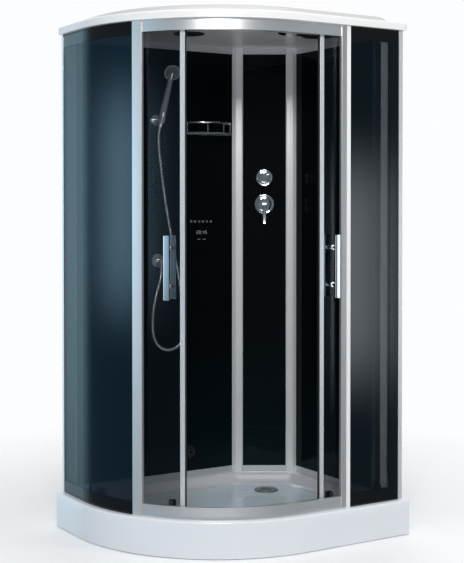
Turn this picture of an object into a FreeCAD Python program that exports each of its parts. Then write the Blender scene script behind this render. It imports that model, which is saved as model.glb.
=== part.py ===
import FreeCAD, Part
import math
import os

# Quadrant steam shower cabin: white tray, black glass walls in two sides of a corner, a bowed tinted glass
# front with two sliding doors, a white roof, and the shower and steam fittings behind and in front of the walls.
# Millimetres, +Z up. The origin is the middle of the tray's footprint, on the floor.
# +X runs along the long wall, +Y points at that wall, and the bowed front looks towards -X and -Y.

V = FreeCAD.Vector
UP = V(0, 0, 1)

# ---------------------------------------------------------------- driving dimensions
TRAY_LENGTH = 1200.0
TRAY_DEPTH = 900.0
RIM_Z = 147.0
FRONT_RADIUS = 685.0            # plan radius of the tray's bowed edge
GLAZING_HEIGHT = 1953.0
ROOF_HEIGHT = 65.0
ROOF_LIP = 32.0

TRAY_WALL = 6.0
TRAY_EDGE_ROUND = 9.0
TRAY_CORNER_ROUND = 14.0
SKIRT_GAP = 2.0                 # skirt's clearance over the floor
BASIN_DEPTH = 45.0
BASIN_SLOPE = 34.0              # how far the basin's wall leans in
BASIN_MARGIN = 98.0             # front edge of the tray to the basin
BASIN_WALL_MARGIN = 26.0        # basin to the glass walls
DRAIN_FROM_SIDE = 312.0
DRAIN_FROM_REAR = 285.0
DRAIN_HOLE_R = 45.0

TRAP_R = 38.0
TRAP_Z = 24.0
WASTE_R = 20.0
WASTE_Z = 46.0
WASTE_NOTCH = 84.0              # opening in the rear skirt for the waste pipe
SPIGOT_L = 40.0
SPIGOT_STEP = 1.5               # how much thicker the waste pipe is behind its spigot
COVER_T = 5.0
COVER_LIP = 8.0
COVER_SLOT_W = 5.0

FRAME_TUBE = 25.0
FOOT_PAD_R = 26.0
FOOT_PAD_H = 8.0
FOOT_ROD_R = 6.0
NUT_ACROSS = 19.0
NUT_H = 10.0

GLASS_INSET = 27.0              # tray's edge to the outside of the fixed glass
GLASS_T = 6.0
SEAT_GAP = 0.3
DOOR_INSET = 52.0               # tray's edge to the middle of the door glass
RAIL_HEIGHT_BOTTOM = 50.0
RAIL_HEIGHT_TOP = 45.0
RAIL_FASCIA_T = 12.0
RAIL_PLATE_T = 3.0
RAIL_PLATE_REACH = 84.0         # tray's edge to the inner edge of the rails
RAIL_WALL_CLEAR = 12.0
RAIL_END_MARGIN = 44.0          # tray's right edge to the end of the rails

TRACK_SETBACK = 14.0            # door glass to the track blade
TRACK_START = 34.0              # where the closed doors meet to the start of the right door's track
TRACK_T = 2.5
BLADE_TOP = 40.0                # bottom blade over the rail's plate
LEDGE_DROP = 39.0               # top track ledge under the rail's plate
LIP_H = 7.5

POST_WIDTH_DEG = 4.0
LEFT_POST_DEG = 207.7
RIGHT_POST_MARGIN = 336.0       # tray's right edge to the right post's far face
RIGHT_POST_WIDTH = 46.0
POST_PROUD = 4.0
POST_INNER = 39.5               # tray's edge to the post's inner face
POST_SLOT = 12.0
POST_ROUND = 2.5

REAR_CAVITY = 50.0              # tray's edge to the rear wall's glass
SIDE_CAVITY = 95.0              # tray's edge to the side wall's glass
WALL_GLASS_T = 5.0
WALL_FRAME_H = 27.0
WALL_FRAME_D = 25.0
WALL_FRAME_PROUD = 2.0
WALL_END_W = 21.0
REAR_WALL_START = 50.0          # tray's left edge to the rear wall's end profile
SIDE_WALL_START = 105.0         # tray's front edge to the side wall's end profile
CORNER_FROM_SIDE = 343.0        # tray's right edge to where the corner unit meets the rear wall
CORNER_FROM_REAR = 201.0        # tray's rear edge to where the corner unit meets the side wall
COLUMN_W = 46.0
COLUMN_D = 26.0
COLUMN_PROUD = 12.0
COLUMN_ROUND = 9.0

EDGE_PROFILE_W = 16.0
EDGE_PROFILE_T = 3.0
EDGE_PROFILE_LEG = 90.0

MEET_DEG = 253.2                # where the closed doors meet on the left door's arc
CLOSED_GAP = 1.6
CROWN_SETBACK = 14.0            # right post's far face to the crown of the right door's arc
LEFT_OPEN_DEG = 25.7
RIGHT_EDGE_SHOWN = 94.606       # how far the open right door stands out of its post
LEFT_DOOR_DEG = 44.7
RIGHT_DOOR_OVERLAP = 18.04      # how far the closed right door reaches behind its post
DOOR_GLASS_T = 6.0
DOOR_BOTTOM_GAP = 10.0
DOOR_TOP_GAP = 9.0
EDGE_BAR_W = 19.0
EDGE_BAR_T = 14.0
EDGE_BAR_GRIP = 8.0
MAGNET_W = 5.0
MAGNET_T = 8.0
FIN_T = 2.0
FIN_REACH = 9.0
HANDLE_SETBACK = 68.0
HANDLE_Z = 1130.0
HANDLE_LENGTH = 252.0
HANDLE_W = 24.0
HANDLE_T = 8.0
HANDLE_REACH = 39.0
STUD_R = 6.0
STUD_SPACING = 150.0

WHEEL_R = 12.0
WHEEL_GROOVE_R = 10.0
WHEEL_W = 9.0
WHEEL_SETBACK = 62.0
AXLE_R = 4.0
RUNNING_GAP = 0.05
BUSH_R = 6.0
CAP_R = 10.0
CAP_T = 3.8
GUIDE_W = 26.0
GUIDE_H = 36.0
GUIDE_D = 16.0
GUIDE_HOLE_OVER_BLADE = 15.0

PLATE_T = 6.0
MIXER_Z = 1382.0
MIXER_PLATE_R = 45.0
DIVERTER_Z = 1504.0
DIVERTER_PLATE_R = 38.0
MIXER_CAP_R = 21.0
MIXER_CAP_L = 34.0
LEVER_L = 92.0
LEVER_W = 17.0
LEVER_T = 8.0
STEM_R = 7.0
KNOB_R = 22.0
KNOB_L = 30.0
VALVE_BODY_R = 27.0
VALVE_BODY_L = 46.0
PIPE_R = 7.5
PIPE_BEND = 9.0
INLET_SPACING = 150.0
INLET_Z = 1000.0
INLET_R = 10.5
INLET_L = 22.0

OUTLET_X = -135.0
OUTLET_Z = 1131.0
OUTLET_PLATE_R = 30.0
OUTLET_REACH = 34.0
NIPPLE_R = 9.0
NIPPLE_L = 31.0

HOLDER_X = -146.0
HOLDER_Z = 1752.0
HOLDER_PLATE_R = 24.0
HANDSET_LEAN = V(0.1095, -0.2607, 0.9592)   # the handle's direction, up and into the cabin
HANDSET_FACE = V(-0.30, -0.76, -0.58)       # the way the spray face looks
CLIP_OUT = 58.0                 # rear wall's glass to the clip's centre
CLIP_R = 17.0
CLIP_BORE_R = 13.0
CLIP_H = 26.0
HANDLE_NECK_R = 12.6
HANDSET_BUTT_R = 15.5
HANDSET_LENGTH = 214.0
HEAD_R = 36.0
HEAD_T = 15.0
HOSE_NUT_R = 9.5
HOSE_NUT_L = 17.0
TAIL_L = 5.0
HOSE_R = 7.0
HOSE_GAP = 0.3                  # between the hose's ends and the nut and nipple they are held by

STEAM_X = 23.0
STEAM_Z = 262.0
STEAM_OUTLET_R = 30.0
STEAM_PIPE_R = 9.0
GENERATOR_W = 150.0
GENERATOR_D = 95.0
GENERATOR_H = 300.0
GENERATOR_Z = 330.0

PANEL_X = 84.0
PANEL_Z = 1262.0
PANEL_W = 150.0
PANEL_H = 190.0
PANEL_T = 7.0
CONTROL_BOX = (170.0, 34.0, 110.0)

SHELF_X = 112.0
SHELF_Z = 1694.0
SHELF_W = 250.0
SHELF_D = 105.0
SHELF_T = 8.0
SHELF_RAIL_H = 52.0
SHELF_WIRE_R = 4.0

CEILING_T = 5.0
VENT_FROM_SIDE = 250.0
VENT_Y = -130.0
VENT_R = 66.0
SPEAKER_X = -150.0
SPEAKER_Y = 90.0
SPEAKER_R = 66.0
GRILLE_T = 4.0
LIGHT_X = -75.0
LIGHT_Y = -215.0
LIGHT_R = 78.0
LIGHT_T = 14.0
RAIN_X = 190.0
RAIN_Y = -215.0
RAIN_R = 80.0
RAIN_T = 12.0
RAIN_STEM_R = 12.0
RAIN_STEM_L = 12.0
FAN_HOUSING_R = 60.0
FAN_HOUSING_H = 34.0
FAN_R = 50.0
FAN_HUB_R = 17.0
FAN_BLADES = 7

# The shower hose's route: from the nut under the handset down in front of the rear wall and up to its outlet.
HOSE_ROUTE = [
    V(-139.0, 366.0, 1560.0),
    V(-125.0, 366.0, 1452.0),
    V(-105.0, 363.0, 1330.0),
    V(-81.0, 359.0, 1200.0),
    V(-54.0, 357.0, 1070.0),
    V(-35.0, 358.0, 950.0),
    V(-23.0, 359.0, 862.0),
    V(-21.0, 361.0, 789.0),
    V(-50.0, 363.0, 746.0),
    V(-98.0, 365.0, 730.0),
    V(-146.0, 367.0, 748.0),
    V(-174.0, 368.0, 792.0),
    V(-179.0, 369.0, 862.0),
    V(-170.0, 369.0, 940.0),
    V(-150.0, 367.0, 1015.0),
    V(-135.0, 366.0, 1062.0),
]

# ---------------------------------------------------------------- derived places
HALF_L = TRAY_LENGTH / 2
HALF_D = TRAY_DEPTH / 2
ARC_X = -HALF_L + FRONT_RADIUS
ARC_Y = -HALF_D + FRONT_RADIUS
ARC_CENTRE = V(ARC_X, ARC_Y, 0)
TOP_Z = RIM_Z + GLAZING_HEIGHT
ROOF_TOP = TOP_Z + ROOF_HEIGHT
BASIN_Z = RIM_Z - BASIN_DEPTH
REAR_FACE = HALF_D - REAR_CAVITY
SIDE_FACE = HALF_L - SIDE_CAVITY
REAR_WALL_X = -HALF_L + REAR_WALL_START
SIDE_WALL_END_Y = -HALF_D + SIDE_WALL_START
CORNER_ON_REAR = HALF_L - CORNER_FROM_SIDE
CORNER_ON_SIDE = HALF_D - CORNER_FROM_REAR
RAIL_FRONT_END = HALF_L - RAIL_END_MARGIN
RIGHT_POST_X = HALF_L - RIGHT_POST_MARGIN
RIGHT_CROWN_X = RIGHT_POST_X - CROWN_SETBACK
DRAIN_X = HALF_L - DRAIN_FROM_SIDE
DRAIN_Y = HALF_D - DRAIN_FROM_REAR
VENT_X = HALF_L - VENT_FROM_SIDE
GLASS_INNER = GLASS_INSET + GLASS_T
RAIL_BACK = GLASS_INNER + SEAT_GAP
RAIL_FACE_INNER = GLASS_INSET + RAIL_FASCIA_T
LEFT_R = FRONT_RADIUS - DOOR_INSET
FRAME_TOP = BASIN_Z - TRAY_WALL
HEAD_Z = TOP_Z - 3.0 - WALL_FRAME_H
CEILING_Z = TOP_Z - 3.0

CORNER_A = V(CORNER_ON_REAR, REAR_FACE, 0)
CORNER_B = V(SIDE_FACE, CORNER_ON_SIDE, 0)
CORNER_LENGTH = CORNER_A.distanceToPoint(CORNER_B)
CORNER_DEG = math.degrees(math.atan2(CORNER_A.y - CORNER_B.y, CORNER_B.x - CORNER_A.x))
CORNER_MID = CORNER_LENGTH / 2

# The right door turns about the centre of its own shallow arc: it touches the straight part of the rail at the
# crown and reaches the left door's arc where the doors meet.
meet = ARC_CENTRE + V(LEFT_R * math.cos(math.radians(MEET_DEG)), LEFT_R * math.sin(math.radians(MEET_DEG)), 0)
crown_y = -HALF_D + DOOR_INSET
meet_dx = meet.x - RIGHT_CROWN_X
meet_dy = meet.y - crown_y
RIGHT_R = (meet_dx ** 2 + meet_dy ** 2) / (2 * meet_dy)
RIGHT_CENTRE = V(RIGHT_CROWN_X, crown_y + RIGHT_R, 0)
RIGHT_MEET_DEG = math.degrees(math.atan2(meet.y - RIGHT_CENTRE.y, meet.x - RIGHT_CENTRE.x)) + 360
RIGHT_DOOR_DEG = math.degrees((RIGHT_POST_X + RIGHT_DOOR_OVERLAP - meet.x) / RIGHT_R)

# Where each door's free edge lies at rest, with the doors slid open as far as they are usually left.
LEFT_EDGE_DEG = MEET_DEG - math.degrees(CLOSED_GAP / 2 / LEFT_R) - LEFT_OPEN_DEG
RIGHT_EDGE_DEG = 270 - math.degrees(math.asin((RIGHT_EDGE_SHOWN - CROWN_SETBACK) / RIGHT_R))


# ---------------------------------------------------------------- plan shapes
def polar(centre, radius, degrees, z=0.0):
    a = math.radians(degrees)
    return V(centre.x + radius * math.cos(a), centre.y + radius * math.sin(a), z)


def arc_edge(centre, radius, start, stop):
    middle = (start + stop) / 2
    return Part.Arc(polar(centre, radius, start), polar(centre, radius, middle), polar(centre, radius, stop)).toShape()


def prism(face, low, high):
    return face.translated(V(0, 0, low)).extrude(V(0, 0, high - low))


def box(x0, x1, y0, y1, z0, z1):
    return Part.makeBox(x1 - x0, y1 - y0, z1 - z0, V(x0, y0, z0))


def plan(offset, rear, side):
    """Area inside the tray's left, bowed and front edges, as far as rear in +Y and side in +X."""
    radius = FRONT_RADIUS - offset
    left = ARC_X - radius
    front = ARC_Y - radius
    edges = [
        Part.makeLine(V(left, rear, 0), V(left, ARC_Y, 0)),
        arc_edge(ARC_CENTRE, radius, 180, 270),
        Part.makeLine(V(ARC_X, front, 0), V(side, front, 0)),
        Part.makeLine(V(side, front, 0), V(side, rear, 0)),
        Part.makeLine(V(side, rear, 0), V(left, rear, 0)),
    ]
    return Part.Face(Part.Wire(edges))


def edge_run(offset, start, stop):
    """Edges and end points of a line that keeps one distance from the tray's edge, between two stations."""
    radius = FRONT_RADIUS - offset
    left = ARC_X - radius
    front = ARC_Y - radius
    edges = []
    first = last = None
    if start[0] == "side":
        first = V(left, start[1], 0)
        edges.append(Part.makeLine(first, V(left, ARC_Y, 0)))
    if start[0] == "arc":
        first = polar(ARC_CENTRE, radius, start[1])
    if start[0] != "front":
        begin = 180.0 if start[0] == "side" else start[1]
        end = stop[1] if stop[0] == "arc" else 270.0
        edges.append(arc_edge(ARC_CENTRE, radius, begin, end))
        last = polar(ARC_CENTRE, radius, end)
    if stop[0] == "front":
        corner = V(start[1], front, 0) if start[0] == "front" else V(ARC_X, front, 0)
        first = corner if start[0] == "front" else first
        last = V(stop[1], front, 0)
        edges.append(Part.makeLine(corner, last))
    return edges, first, last


def strip(outer, inner, start, stop):
    """Area between two distances from the tray's edge."""
    outside, outer_first, outer_last = edge_run(outer, start, stop)
    inside, inner_first, inner_last = edge_run(inner, start, stop)
    edges = outside + inside
    edges += [Part.makeLine(outer_first, inner_first), Part.makeLine(outer_last, inner_last)]
    return Part.Face(Part.Wire(Part.__sortEdges__(edges)))


def sector(centre, outer, inner, start, stop):
    """Area between two radii about a centre."""
    edges = [
        arc_edge(centre, outer, start, stop),
        arc_edge(centre, inner, start, stop),
        Part.makeLine(polar(centre, outer, start), polar(centre, inner, start)),
        Part.makeLine(polar(centre, outer, stop), polar(centre, inner, stop)),
    ]
    return Part.Face(Part.Wire(Part.__sortEdges__(edges)))


def radial_box(centre, degrees, r0, r1, half_width, z0, z1):
    shape = Part.makeBox(r1 - r0, 2 * half_width, z1 - z0, V(r0, -half_width, z0))
    shape.rotate(V(0, 0, 0), UP, degrees)
    return shape.translated(centre)


def radial_rod(centre, degrees, r0, r1, z, radius):
    shape = Part.makeCylinder(radius, r1 - r0, V(r0, 0, z), V(1, 0, 0))
    shape.rotate(V(0, 0, 0), UP, degrees)
    return shape.translated(centre)


def corner_place(shape):
    """Moves a shape from the corner unit's own frame (x along it, -y into the cabin) to its place."""
    shape = shape.copy()
    shape.rotate(V(0, 0, 0), UP, -CORNER_DEG)
    return shape.translated(CORNER_A)


def corner_box(s0, s1, out0, out1, z0, z1):
    return corner_place(box(s0, s1, -out1, -out0, z0, z1))


def corner_rod(s, z, out0, out1, radius):
    return corner_place(Part.makeCylinder(radius, out1 - out0, V(s, -out0, z), V(0, -1, 0)))


def rod(start, stop, radius):
    return Part.makeCylinder(radius, start.distanceToPoint(stop), start, stop - start)


def fuse(shapes):
    whole = shapes[0]
    for shape in shapes[1:]:
        whole = whole.fuse(shape)
    return whole.removeSplitter()


def round_edges(shape, radius, wanted):
    return shape.makeFillet(radius, [edge for edge in shape.Edges if wanted(edge)])


def upright(edge):
    a = edge.Vertexes[0].Point
    b = edge.Vertexes[-1].Point
    return abs(a.x - b.x) < 0.01 and abs(a.y - b.y) < 0.01 and abs(a.z - b.z) > 1


def level_at(z):
    return lambda edge: all(abs(v.Point.z - z) < 0.01 for v in edge.Vertexes) and abs(edge.CenterOfMass.z - z) < 0.01


# ---------------------------------------------------------------- tray and base
def basin_wire(shrink, z):
    """The basin's outline: two straight sides, the bow, and the wall behind with its cut corner."""
    radius = FRONT_RADIUS - BASIN_MARGIN - shrink
    left = ARC_X - radius
    front = ARC_Y - radius
    rear = REAR_FACE - BASIN_WALL_MARGIN - shrink
    side = SIDE_FACE - BASIN_WALL_MARGIN - shrink
    across = math.tan(math.radians(CORNER_DEG))
    back = (BASIN_WALL_MARGIN + shrink) / math.cos(math.radians(CORNER_DEG))
    cut_rear = V(CORNER_ON_REAR + (REAR_FACE - rear - back) / across, rear, 0)
    cut_side = V(side, CORNER_ON_SIDE + (SIDE_FACE - side) * across - back, 0)
    points = [V(left, rear, 0), V(left, ARC_Y, 0), V(ARC_X, front, 0), V(side, front, 0), cut_side, cut_rear]
    edges = [
        Part.makeLine(points[0], points[1]),
        arc_edge(ARC_CENTRE, radius, 180, 270),
        Part.makeLine(points[2], points[3]),
        Part.makeLine(points[3], points[4]),
        Part.makeLine(points[4], points[5]),
        Part.makeLine(points[5], points[0]),
    ]
    return Part.Wire(edges).translated(V(0, 0, z))


def basin_solid(grow, floor, top):
    return Part.makeLoft([basin_wire(-grow, top), basin_wire(BASIN_SLOPE - grow, floor)], True, True)


def in_the_room(edge):
    """Not against either wall of the room's corner."""
    return edge.CenterOfMass.y < HALF_D - 1 and edge.CenterOfMass.x < HALF_L - 1


def make_tray():
    body = prism(plan(0, HALF_D, HALF_L), SKIRT_GAP, RIM_Z)
    body = round_edges(body, TRAY_EDGE_ROUND, lambda edge: level_at(RIM_Z)(edge) and in_the_room(edge))
    hollow = prism(plan(TRAY_WALL, HALF_D - TRAY_WALL, HALF_L - TRAY_WALL), 0, RIM_Z - TRAY_WALL)
    hollow = hollow.cut(basin_solid(TRAY_WALL, BASIN_Z - TRAY_WALL, RIM_Z))
    drain = Part.makeCylinder(DRAIN_HOLE_R, RIM_Z, V(DRAIN_X, DRAIN_Y, 0))
    waste_way = box(DRAIN_X - WASTE_NOTCH / 2, DRAIN_X + WASTE_NOTCH / 2, HALF_D - 2 * TRAY_WALL, HALF_D + 1,
                    0, WASTE_Z + WASTE_NOTCH / 2)
    return body.cut(hollow).cut(basin_solid(0, BASIN_Z, RIM_Z + 0.01)).cut(drain).cut(waste_way)


FRAME_BARS_Y = (-150.0, 290.0)
FRAME_BARS_X = (-350.0, 60.0, 420.0)
FRAME_X0 = -440.0
FRAME_X1 = 450.0
FRAME_Y0 = -290.0
FOOT_PLACES = [(x, y) for x in FRAME_BARS_X for y in FRAME_BARS_Y]


def make_tray_frame():
    low = FRAME_TOP - FRAME_TUBE
    half = FRAME_TUBE / 2
    bars = []
    for y in FRAME_BARS_Y:
        bars.append(box(FRAME_X0, FRAME_X1, y - half, y + half, low, FRAME_TOP))
    for x in FRAME_BARS_X:
        front = FRAME_BARS_Y[0] - half if x == FRAME_BARS_X[0] else FRAME_Y0
        bars.append(box(x - half, x + half, front, FRAME_BARS_Y[1] + half, low, FRAME_TOP))
    frame = fuse(bars)
    for x, y in FOOT_PLACES:
        frame = frame.cut(Part.makeCylinder(FOOT_ROD_R + SEAT_GAP / 2, FRAME_TUBE, V(x, y, low)))
    return frame


def hexagon(across, height, centre):
    points = [polar(centre, across / math.sqrt(3), 60 * k, centre.z) for k in range(7)]
    return Part.Face(Part.makePolygon(points)).extrude(V(0, 0, height))


def make_levelling_feet():
    feet = []
    low = FRAME_TOP - FRAME_TUBE
    for x, y in FOOT_PLACES:
        pad = Part.makeCone(FOOT_PAD_R, FOOT_PAD_R - 4, FOOT_PAD_H, V(x, y, 0))
        stem = Part.makeCylinder(FOOT_ROD_R, FRAME_TOP - 1 - FOOT_PAD_H, V(x, y, FOOT_PAD_H))
        nut = hexagon(NUT_ACROSS, NUT_H, V(x, y, low - NUT_H))
        feet.append(fuse([pad, stem, nut]))
    return feet


WASTE_END_Y = HALF_D - 2.0


def make_drain_trap():
    flange = Part.makeCylinder(DRAIN_HOLE_R - SEAT_GAP, TRAY_WALL, V(DRAIN_X, DRAIN_Y, BASIN_Z - TRAY_WALL - 2))
    cup = Part.makeCylinder(TRAP_R, FRAME_TOP - TRAP_Z, V(DRAIN_X, DRAIN_Y, TRAP_Z))
    pipe = Part.makeCylinder(WASTE_R + SPIGOT_STEP, WASTE_END_Y - SPIGOT_L - DRAIN_Y, V(DRAIN_X, DRAIN_Y, WASTE_Z),
                             V(0, 1, 0))
    spigot = Part.makeCylinder(WASTE_R, SPIGOT_L + 5, V(DRAIN_X, WASTE_END_Y - SPIGOT_L - 5, WASTE_Z), V(0, 1, 0))
    wall = 3.0
    cup_void = Part.makeCylinder(TRAP_R - wall, BASIN_Z - TRAP_Z, V(DRAIN_X, DRAIN_Y, TRAP_Z + wall))
    bore = Part.makeCylinder(WASTE_R - wall, WASTE_END_Y - DRAIN_Y, V(DRAIN_X, DRAIN_Y, WASTE_Z), V(0, 1, 0))
    return fuse([flange, cup, pipe, spigot]).cut(cup_void).cut(bore)


def make_drain_cover():
    """Lift-off cover: a slotted disc with a ring of fingers that centres it in the trap."""
    top = Part.makeCylinder(DRAIN_HOLE_R + COVER_LIP, COVER_T, V(DRAIN_X, DRAIN_Y, BASIN_Z))
    top = round_edges(top, COVER_T / 2, level_at(BASIN_Z + COVER_T))
    spigot_r = TRAP_R - 3 - SEAT_GAP
    spigot = Part.makeCylinder(spigot_r, 12, V(DRAIN_X, DRAIN_Y, BASIN_Z - 12))
    core = Part.makeCylinder(spigot_r - 4, 12, V(DRAIN_X, DRAIN_Y, BASIN_Z - 12))
    cover = top.fuse(spigot.cut(core))
    for row in range(-2, 3):
        y = row * 2.4 * COVER_SLOT_W
        half = math.sqrt((spigot_r - 8) ** 2 - y ** 2)
        cover = cover.cut(box(DRAIN_X - half, DRAIN_X + half, DRAIN_Y + y - COVER_SLOT_W / 2,
                              DRAIN_Y + y + COVER_SLOT_W / 2, BASIN_Z - 1, BASIN_Z + COVER_T + 1))
    return cover


# ---------------------------------------------------------------- rails, posts and fixed glass
def right_deg(x):
    """Angle about the right door's centre of the point on its arc at x."""
    return 270 + math.degrees(math.asin((x - RIGHT_CROWN_X) / RIGHT_R))


LEFT_TRACK = (176.0, 249.5)
RIGHT_TRACK = (right_deg(meet.x + TRACK_START), right_deg(RAIL_FRONT_END))
POST_STATIONS = [
    (("arc", LEFT_POST_DEG), ("arc", LEFT_POST_DEG + POST_WIDTH_DEG)),
    (("front", RIGHT_POST_X), ("front", RIGHT_POST_X + RIGHT_POST_WIDTH)),
]
RAIL_START = ("side", REAR_FACE - RAIL_WALL_CLEAR)
RAIL_STOP = ("front", RAIL_FRONT_END)


def track_ring(centre, radius, span, inward, outward, z0, z1):
    middle = radius - TRACK_SETBACK
    return prism(sector(centre, middle + outward, middle - inward, span[0], span[1]), z0, z1)


def rail_body(z0, z1, plate0, plate1):
    """Fascia between the posts, the wall behind the fixed glass on each side, and the plate under the doors."""
    left, right = POST_STATIONS
    parts = [
        prism(strip(GLASS_INSET, RAIL_FACE_INNER, left[1], right[0]), z0, z1),
        prism(strip(RAIL_BACK, RAIL_FACE_INNER, RAIL_START, left[0]), z0, z1),
        prism(strip(RAIL_BACK, RAIL_FACE_INNER, right[1], RAIL_STOP), z0, z1),
        prism(strip(POST_INNER + SEAT_GAP, RAIL_PLATE_REACH, RAIL_START, RAIL_STOP), plate0, plate1),
        prism(strip(RAIL_FACE_INNER - 1, RAIL_PLATE_REACH, RAIL_START, left[0]), plate0, plate1),
        prism(strip(RAIL_FACE_INNER - 1, RAIL_PLATE_REACH, left[1], right[0]), plate0, plate1),
        prism(strip(RAIL_FACE_INNER - 1, RAIL_PLATE_REACH, right[1], RAIL_STOP), plate0, plate1),
        track_ring(RIGHT_CENTRE, RIGHT_R, RIGHT_TRACK, 13.0, 10.0, plate0, plate1),
    ]
    return fuse(parts)


def make_bottom_rail():
    top = RIM_Z + RAIL_HEIGHT_BOTTOM
    plate = RIM_Z + RAIL_PLATE_T
    rail = rail_body(RIM_Z, top, RIM_Z, plate)
    half = TRACK_T / 2
    blades = [
        track_ring(ARC_CENTRE, LEFT_R, LEFT_TRACK, half, half, plate, plate + BLADE_TOP),
        track_ring(RIGHT_CENTRE, RIGHT_R, RIGHT_TRACK, half, half, plate, plate + BLADE_TOP),
    ]
    return fuse([rail] + blades)


def make_top_rail():
    plate = TOP_Z - RAIL_PLATE_T
    rail = rail_body(TOP_Z - RAIL_HEIGHT_TOP, TOP_Z, plate, TOP_Z)
    half = TRACK_T / 2
    ledge = plate - LEDGE_DROP
    parts = [rail]
    for centre, radius, span in ((ARC_CENTRE, LEFT_R, LEFT_TRACK), (RIGHT_CENTRE, RIGHT_R, RIGHT_TRACK)):
        parts.append(track_ring(centre, radius, span, 13.0, -10.5, ledge, plate))
        parts.append(track_ring(centre, radius, span, 13.0, half, ledge, ledge + TRACK_T))
        parts.append(track_ring(centre, radius, span, half, half, ledge, ledge + TRACK_T + LIP_H))
    return fuse(parts)


LIP_TOP = TOP_Z - RAIL_PLATE_T - LEDGE_DROP + TRACK_T + LIP_H
WHEEL_Z = LIP_TOP + WHEEL_GROOVE_R
BLADE_Z = RIM_Z + RAIL_PLATE_T + BLADE_TOP
GUIDE_Z = BLADE_Z + GUIDE_HOLE_OVER_BLADE


def make_post(index):
    start, stop = POST_STATIONS[index]
    post = prism(strip(GLASS_INSET - POST_PROUD, POST_INNER, start, stop), RIM_Z, TOP_Z)
    post = round_edges(post, POST_ROUND, upright)
    slot_face = strip(GLASS_INSET - SEAT_GAP, GLASS_INNER + SEAT_GAP, *slot_stations(index, SEAT_GAP))
    return post.cut(prism(slot_face, RIM_Z, TOP_Z))


def slot_stations(index, extra):
    start, stop = POST_STATIONS[index]
    if index == 0:
        depth = math.degrees((POST_SLOT + extra) / (FRONT_RADIUS - GLASS_INSET))
        return ("arc", start[1] - 1), ("arc", start[1] + depth)
    return ("front", stop[1] - POST_SLOT - extra), ("front", stop[1] + 1)


def make_fixed_glass(index):
    low = RIM_Z + SEAT_GAP
    high = TOP_Z - SEAT_GAP
    if index == 0:
        start = ("side", HALF_D - GLASS_INSET + 12)
        stop = slot_stations(0, 0)[1]
    else:
        start = slot_stations(1, 0)[0]
        stop = ("front", HALF_L - GLASS_INSET)
    return prism(strip(GLASS_INSET, GLASS_INNER, start, stop), low, high)


def make_edge_profile(index):
    """Angle that closes the fixed glass against the room's wall, with its leg inside the cabin."""
    low = RIM_Z
    high = TOP_Z
    gap = SEAT_GAP
    if index == 0:
        glass_end = HALF_D - GLASS_INSET + 12
        face = -HALF_L + GLASS_INSET
        inner = face + GLASS_T + gap
        leg = box(inner, inner + EDGE_PROFILE_T, RAIL_START[1] + gap, glass_end + gap + 6, low, high)
        leg = leg.fuse(box(inner, inner + EDGE_PROFILE_T, glass_end + gap - EDGE_PROFILE_LEG, glass_end,
                           low + RAIL_HEIGHT_BOTTOM + gap, high - RAIL_HEIGHT_TOP - gap))
        cap = box(face - gap - 2, inner + EDGE_PROFILE_T, glass_end + gap, glass_end + gap + 6, low, high)
        side = box(face - gap - 2, face - gap, glass_end - EDGE_PROFILE_W + 6, glass_end + gap + 6, low, high)
    else:
        glass_end = HALF_L - GLASS_INSET
        face = -HALF_D + GLASS_INSET
        x0 = glass_end + gap
        leg = box(x0, x0 + EDGE_PROFILE_T, face - gap - 2, face + EDGE_PROFILE_LEG, low, high)
        cap = box(x0, x0 + EDGE_PROFILE_T + 3, face - gap - 2, face + GLASS_T, low, high)
        side = box(glass_end - EDGE_PROFILE_W + 3, x0 + 3, face - gap - 2, face - gap, low, high)
    return fuse([leg, cap, side])


# ---------------------------------------------------------------- walls and corner unit
def make_rear_wall_frame():
    front = REAR_FACE - WALL_FRAME_PROUD
    back = front + WALL_FRAME_D
    x0 = REAR_WALL_X
    x1 = CORNER_ON_REAR
    end_front = REAR_FACE - 8
    foot = box(x0, x1, front, back, RIM_Z, RIM_Z + WALL_FRAME_H)
    head = box(x0, x1, front, back, HEAD_Z, HEAD_Z + WALL_FRAME_H)
    end = box(x0, x0 + WALL_END_W, end_front, back, RIM_Z, HEAD_Z + WALL_FRAME_H)
    return fuse([foot, head, end])


def make_side_wall_frame():
    front = SIDE_FACE - WALL_FRAME_PROUD
    back = front + WALL_FRAME_D
    foot = box(front, back, SIDE_WALL_END_Y, CORNER_ON_SIDE, RIM_Z, RIM_Z + WALL_FRAME_H)
    head = box(front, back, SIDE_WALL_END_Y, CORNER_ON_SIDE, HEAD_Z, HEAD_Z + WALL_FRAME_H)
    end = box(SIDE_FACE - 5, back, SIDE_WALL_END_Y, SIDE_WALL_END_Y + WALL_END_W, RIM_Z, HEAD_Z + WALL_FRAME_H)
    return fuse([foot, head, end])


def make_rear_wall_panel():
    x0 = REAR_WALL_X + WALL_END_W + SEAT_GAP
    panel = box(x0, CORNER_ON_REAR, REAR_FACE, REAR_FACE + WALL_GLASS_T,
                RIM_Z + WALL_FRAME_H + SEAT_GAP, HEAD_Z - SEAT_GAP)
    holes = [(OUTLET_X, OUTLET_Z, NIPPLE_R + 1), (STEAM_X, STEAM_Z, STEAM_PIPE_R + 1)]
    for x, z, radius in holes:
        panel = panel.cut(Part.makeCylinder(radius, 3 * WALL_GLASS_T, V(x, REAR_FACE - 5, z), V(0, 1, 0)))
    return panel


def make_side_wall_panel():
    y0 = SIDE_WALL_END_Y + WALL_END_W + SEAT_GAP
    return box(SIDE_FACE, SIDE_FACE + WALL_GLASS_T, y0, CORNER_ON_SIDE,
               RIM_Z + WALL_FRAME_H + SEAT_GAP, HEAD_Z - SEAT_GAP)


COLUMN_BACK = COLUMN_D - COLUMN_PROUD
PANEL_S0 = COLUMN_W + SEAT_GAP
PANEL_S1 = CORNER_LENGTH - COLUMN_W - SEAT_GAP


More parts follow.
